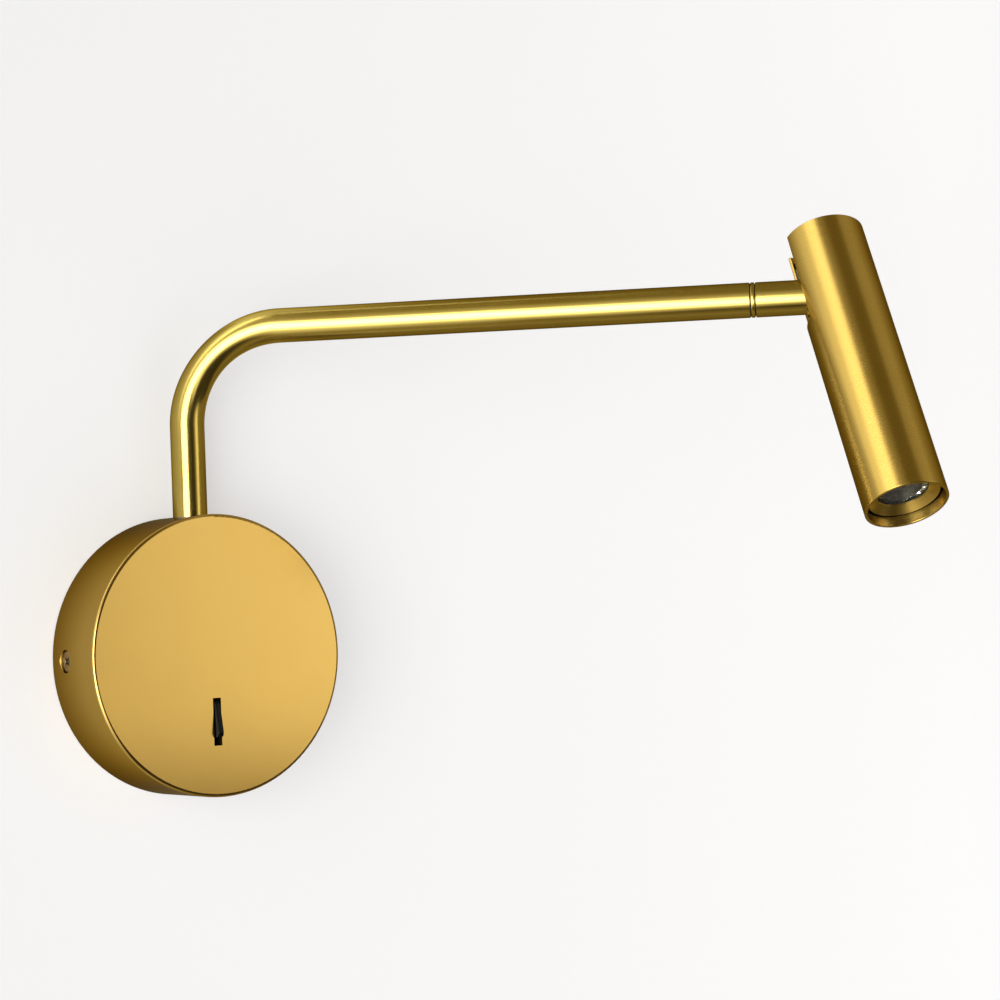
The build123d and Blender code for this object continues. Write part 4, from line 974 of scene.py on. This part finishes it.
class LAMP_OT_stage(LampOperator, bpy.types.Operator):
    """Set the wall, the floor, the lights and the camera."""

    bl_idname = "lamp.stage"
    bl_label = "Stage"

    def execute(self, context):
        stage = context.scene.lamp_stage
        colour = tuple(stage.wall_colour)
        bm = bmesh.new()
        bmesh.ops.create_circle(bm, segments=64, radius=WALL_HOLE)
        _, verts = extrude(bm, bm.edges[:])
        bmesh.ops.scale(bm, vec=(WALL_SPREAD,) * 3, verts=verts)
        face_out(bm, lambda point: UP)
        bmesh.ops.transform(bm, matrix=axes(-OUT * WALL_GAP, Vector((1, 0, 0)), OUT), verts=bm.verts)
        stage_piece("wall", bm, backdrop("pale_wall", colour, wall_level))
        bm = bmesh.new()
        bmesh.ops.create_grid(bm, x_segments=1, y_segments=1, size=FLOOR_HALF,
                              matrix=Matrix.Translation(FLOOR_MIDDLE))
        stage_piece("floor", bm, backdrop("pale_floor", colour, floor_level))
        panel("window", direction(-145, -4), 1.3, (0.8, 1.55), stage.window_light, towards_middle)
        panel("side_panel", direction(-58, 8), 1.1, (0.46, 0.64), stage.side_light, towards_right)
        room(stage.room_light)
        camera(stage.lens)
        context.scene.view_settings.view_transform = "Standard"
        return {"FINISHED"}


def direction(azimuth, elevation):
    """Return the unit vector at the azimuth and elevation, in degrees."""
    a, e = radians(azimuth), radians(elevation)
    return Vector((cos(e) * cos(a), cos(e) * sin(a), sin(e)))


def stage_piece(name, bm, material):
    """Make a piece of the stage from the bmesh."""
    piece = mesh_object(name, bm, material)


def backdrop(name, colour, mirrored_level):
    """Make a pale finish for the wall or the floor, seen from its front alone.

    Glossy rays don't see it: they see a separate glow at the level that the function gives, fitted to the
    photograph's reflections. The pale glow isn't held to camera rays, so it lights the lamp as well.
    """
    paint = Paint(name)
    place = paint.add("ShaderNodeSeparateXYZ", Vector=paint.part("ShaderNodeTexCoord", "Object"))
    grain = paint.noise(paint.local(None, 0.004))
    tone = paint.mix(grain, tuple(c * 0.985 for c in colour), colour)
    diffuse = paint.add("ShaderNodeBsdfDiffuse", Color=tone)
    # Painted light: the glow grows brighter towards the right of the wall and the floor.
    glow = paint.add("ShaderNodeEmission", Color=colour,
                     Strength=paint.span(place.outputs["X"], 0.95, 1.38, -0.25, 0.4))
    seen = paint.shader_mix(0.5, diffuse, glow)
    level = mirrored_level(paint, place)
    mirrored = paint.add("ShaderNodeEmission", Color=dusk(paint, level), Strength=level)
    front = paint.shader_mix(paint.part("ShaderNodeLightPath", "Is Glossy Ray"), seen, mirrored)
    behind = paint.part("ShaderNodeNewGeometry", "Backfacing")
    both = paint.shader_mix(behind, front, paint.add("ShaderNodeBsdfTransparent"))
    paint.link(both.outputs[0], paint.output.inputs["Surface"])
    return paint.material


def wall_level(paint, place):
    """Return how bright glossy rays see the wall: dim behind the reach, bright at the far left, and dimmed
    close round the canopy as a painted contact shadow.
    """
    across, high = place.outputs["X"], place.outputs["Z"]
    above = paint.math("SUBTRACT", high, paint.span(across, 0.17, 0.068, -0.01, 0.03))
    lit = paint.product(paint.span(across, 0.34, 0.0, 0.04, 0.13), paint.span(high, 1.0, 0.0, 0.22, 0.4),
                        paint.span(above, 0.0, 1.0, 0.0, 0.03))
    near = paint.total(paint.span(across, 0.45, 0.17, -0.04, 0.06), lit)
    middle = paint.product(paint.span(across, 0.34, 0.0, -0.14, -0.04),
                           paint.span(high, 0.1, 1.0, 0.07, 0.22))
    far = paint.product(paint.span(across, 1.7, 0.0, -0.9, -0.14), paint.span(high, 0.0, 1.0, 0.1, 0.7))
    point = paint.part("ShaderNodeCombineXYZ", 0, X=across, Z=high)
    beside = paint.part("ShaderNodeVectorMath", "Value", operation="LENGTH", Vector=point)
    return paint.product(paint.total(near, middle, far), paint.span(beside, 0.45, 1.0, 0.05, 0.062))


def floor_level(paint, place):
    """Return how bright glossy rays see the floor: bright at the left, and dim in front of the lamp."""
    left = paint.span(place.outputs["X"], 1.3, 0.0, -1.2, -0.35)
    return paint.total(left, paint.span(place.outputs["Y"], 0.02, 0.22, -0.6, -0.2))


def dusk(paint, level):
    """Return the colour of the room's light: amber where it is dim, near white where it is bright."""
    return paint.mix(paint.span(level, 0.0, 1.0, 0.13, 0.5), DUSK_TINT, BRIGHT_TINT)


def panel(name, way, distance, size, radiance, fade):
    """Hang a rectangular light that faces the middle of the lamp, with a function that grades it."""
    light = bpy.data.lights.new(name, "AREA")
    light.shape = "RECTANGLE"
    light.size, light.size_y = size
    light.energy = radiance * pi * size[0] * size[1]
    paint = Paint(name, light)
    place = paint.add("ShaderNodeSeparateXYZ", Vector=paint.part("ShaderNodeNewGeometry", "Parametric"))
    glow = paint.add("ShaderNodeEmission", Color=BRIGHT_TINT, Strength=fade(paint, place))
    paint.link(glow.outputs[0], paint.output.inputs["Surface"])
    lamp = link_object(name, light)
    facing = way.to_track_quat("Z", "Y").to_matrix().to_4x4()
    lamp.matrix_world = Matrix.Translation(LAMP_MIDDLE + way * distance) @ facing
    lamp.visible_camera = False


def towards_middle(paint, place):
    """Return a brightness that fades from the middle of a panel to its top and foot."""
    away = paint.math("ABSOLUTE", paint.math("SUBTRACT", place.outputs["Y"], 0.5))
    fade = paint.span(away, 1.0, 0.0, 0.0, 0.5)
    fade.node.interpolation_type = "SMOOTHSTEP"
    return fade


def towards_right(paint, place):
    """Return a brightness that grows to the right side of a panel."""
    return paint.span(place.outputs["X"], 0.65, 1.35)


def room(radiance):
    """Make the room around the lamp, bright behind the wall.

    Camera and transmission rays see it near white. Metal sees it dark in front, and paler above, below and
    at both sides.
    """
    world = bpy.data.worlds.new("room")
    bpy.context.scene.world = world
    paint = Paint("room", world)
    way = paint.add("ShaderNodeSeparateXYZ", Vector=paint.part("ShaderNodeTexCoord", "Generated"))
    x, y, z = (way.outputs[axis] for axis in "XYZ")
    round_way = paint.math("ARCTAN2", y, x)
    steep = paint.math("ABSOLUTE", z)
    high = paint.span(steep, radiance * 0.15, radiance, 0.2, 0.8)
    right = paint.span(x, 0.0, radiance * 1.3, 0.2, 0.27)
    window = paint.product(paint.span(steep, radiance * 3.0, radiance * 0.3, 0.45, 0.8),
                           paint.span(round_way, 1.0, 0.0, radians(-128), radians(-125)),
                           paint.span(round_way, 0.0, 1.0, radians(-164), radians(-160)))
    corner = paint.product(paint.span(round_way, 1.0, 0.0, radians(-167), radians(-164)),
                           paint.span(z, 0.3, 2.0, 0.0, 0.6), paint.span(z, 1.0, 0.0, 0.82, 0.92),
                           paint.span(y, 1.0, 0.0, 0.0, 0.05))
    behind = paint.span(y, 0.0, radiance * 6, 0.35, 0.6)
    level = paint.total(high, right, window, corner, behind)
    path = paint.add("ShaderNodeLightPath")
    seen = paint.math("MAXIMUM", path.outputs["Is Camera Ray"], path.outputs["Is Transmission Ray"])
    colour = paint.mix(seen, dusk(paint, level), (1.0, 1.0, 1.0))
    strength = paint.math("MAXIMUM", level, paint.product(seen, 0.97))
    background = paint.add("ShaderNodeBackground", Color=colour, Strength=strength)
    paint.link(background.outputs[0], paint.output.inputs["Surface"])


def camera(lens):
    """Set the camera where the photograph was taken from."""
    data = bpy.data.cameras.new("camera")
    data.lens = lens
    data.sensor_width = 36
    data.clip_start = 0.01
    eye = link_object("camera", data)
    eye.matrix_world = axes(EYE, EYE_RIGHT.normalized(), -EYE_FORWARD.normalized())
    bpy.context.scene.camera = eye


# ---------------------------------------------------------------- panel and registration
STEPS = (LAMP_OT_finishes, LAMP_OT_canopy, LAMP_OT_screws, LAMP_OT_rocker, LAMP_OT_pad, LAMP_OT_arm,
         LAMP_OT_ring, LAMP_OT_head, LAMP_OT_light, LAMP_OT_stage)


class LAMP_PT_sidebar(bpy.types.Panel):
    """List the lamp's pieces and settings."""

    bl_idname = "LAMP_PT_sidebar"
    bl_label = "Reading lamp"
    bl_space_type = "VIEW_3D"
    bl_region_type = "UI"
    bl_category = "Lamp"

    def draw(self, context):
        scene = context.scene
        for step in STEPS:
            self.layout.operator(step.bl_idname)
        for group in (scene.lamp_sizes, scene.lamp_finish, scene.lamp_stage):
            box = self.layout.box()
            for name in group.__annotations__:
                box.prop(group, name)


CLASSES = (LampSizes, LampFinish, StageLook, *STEPS, LAMP_PT_sidebar)


def register():
    """Register the classes and put the settings on the scene."""
    for cls in CLASSES:
        bpy.utils.register_class(cls)
    bpy.types.Scene.lamp_sizes = PointerProperty(type=LampSizes)
    bpy.types.Scene.lamp_finish = PointerProperty(type=LampFinish)
    bpy.types.Scene.lamp_stage = PointerProperty(type=StageLook)


def unregister():
    """Take the settings off the scene and unregister the classes."""
    for name in ("lamp_stage", "lamp_finish", "lamp_sizes"):
        delattr(bpy.types.Scene, name)
    for cls in reversed(CLASSES):
        bpy.utils.unregister_class(cls)


def main():
    """Make every piece in order."""
    register()
    for step in STEPS:
        getattr(bpy.ops.lamp, step.bl_idname.removeprefix("lamp."))()


if __name__ == "__main__":
    main()
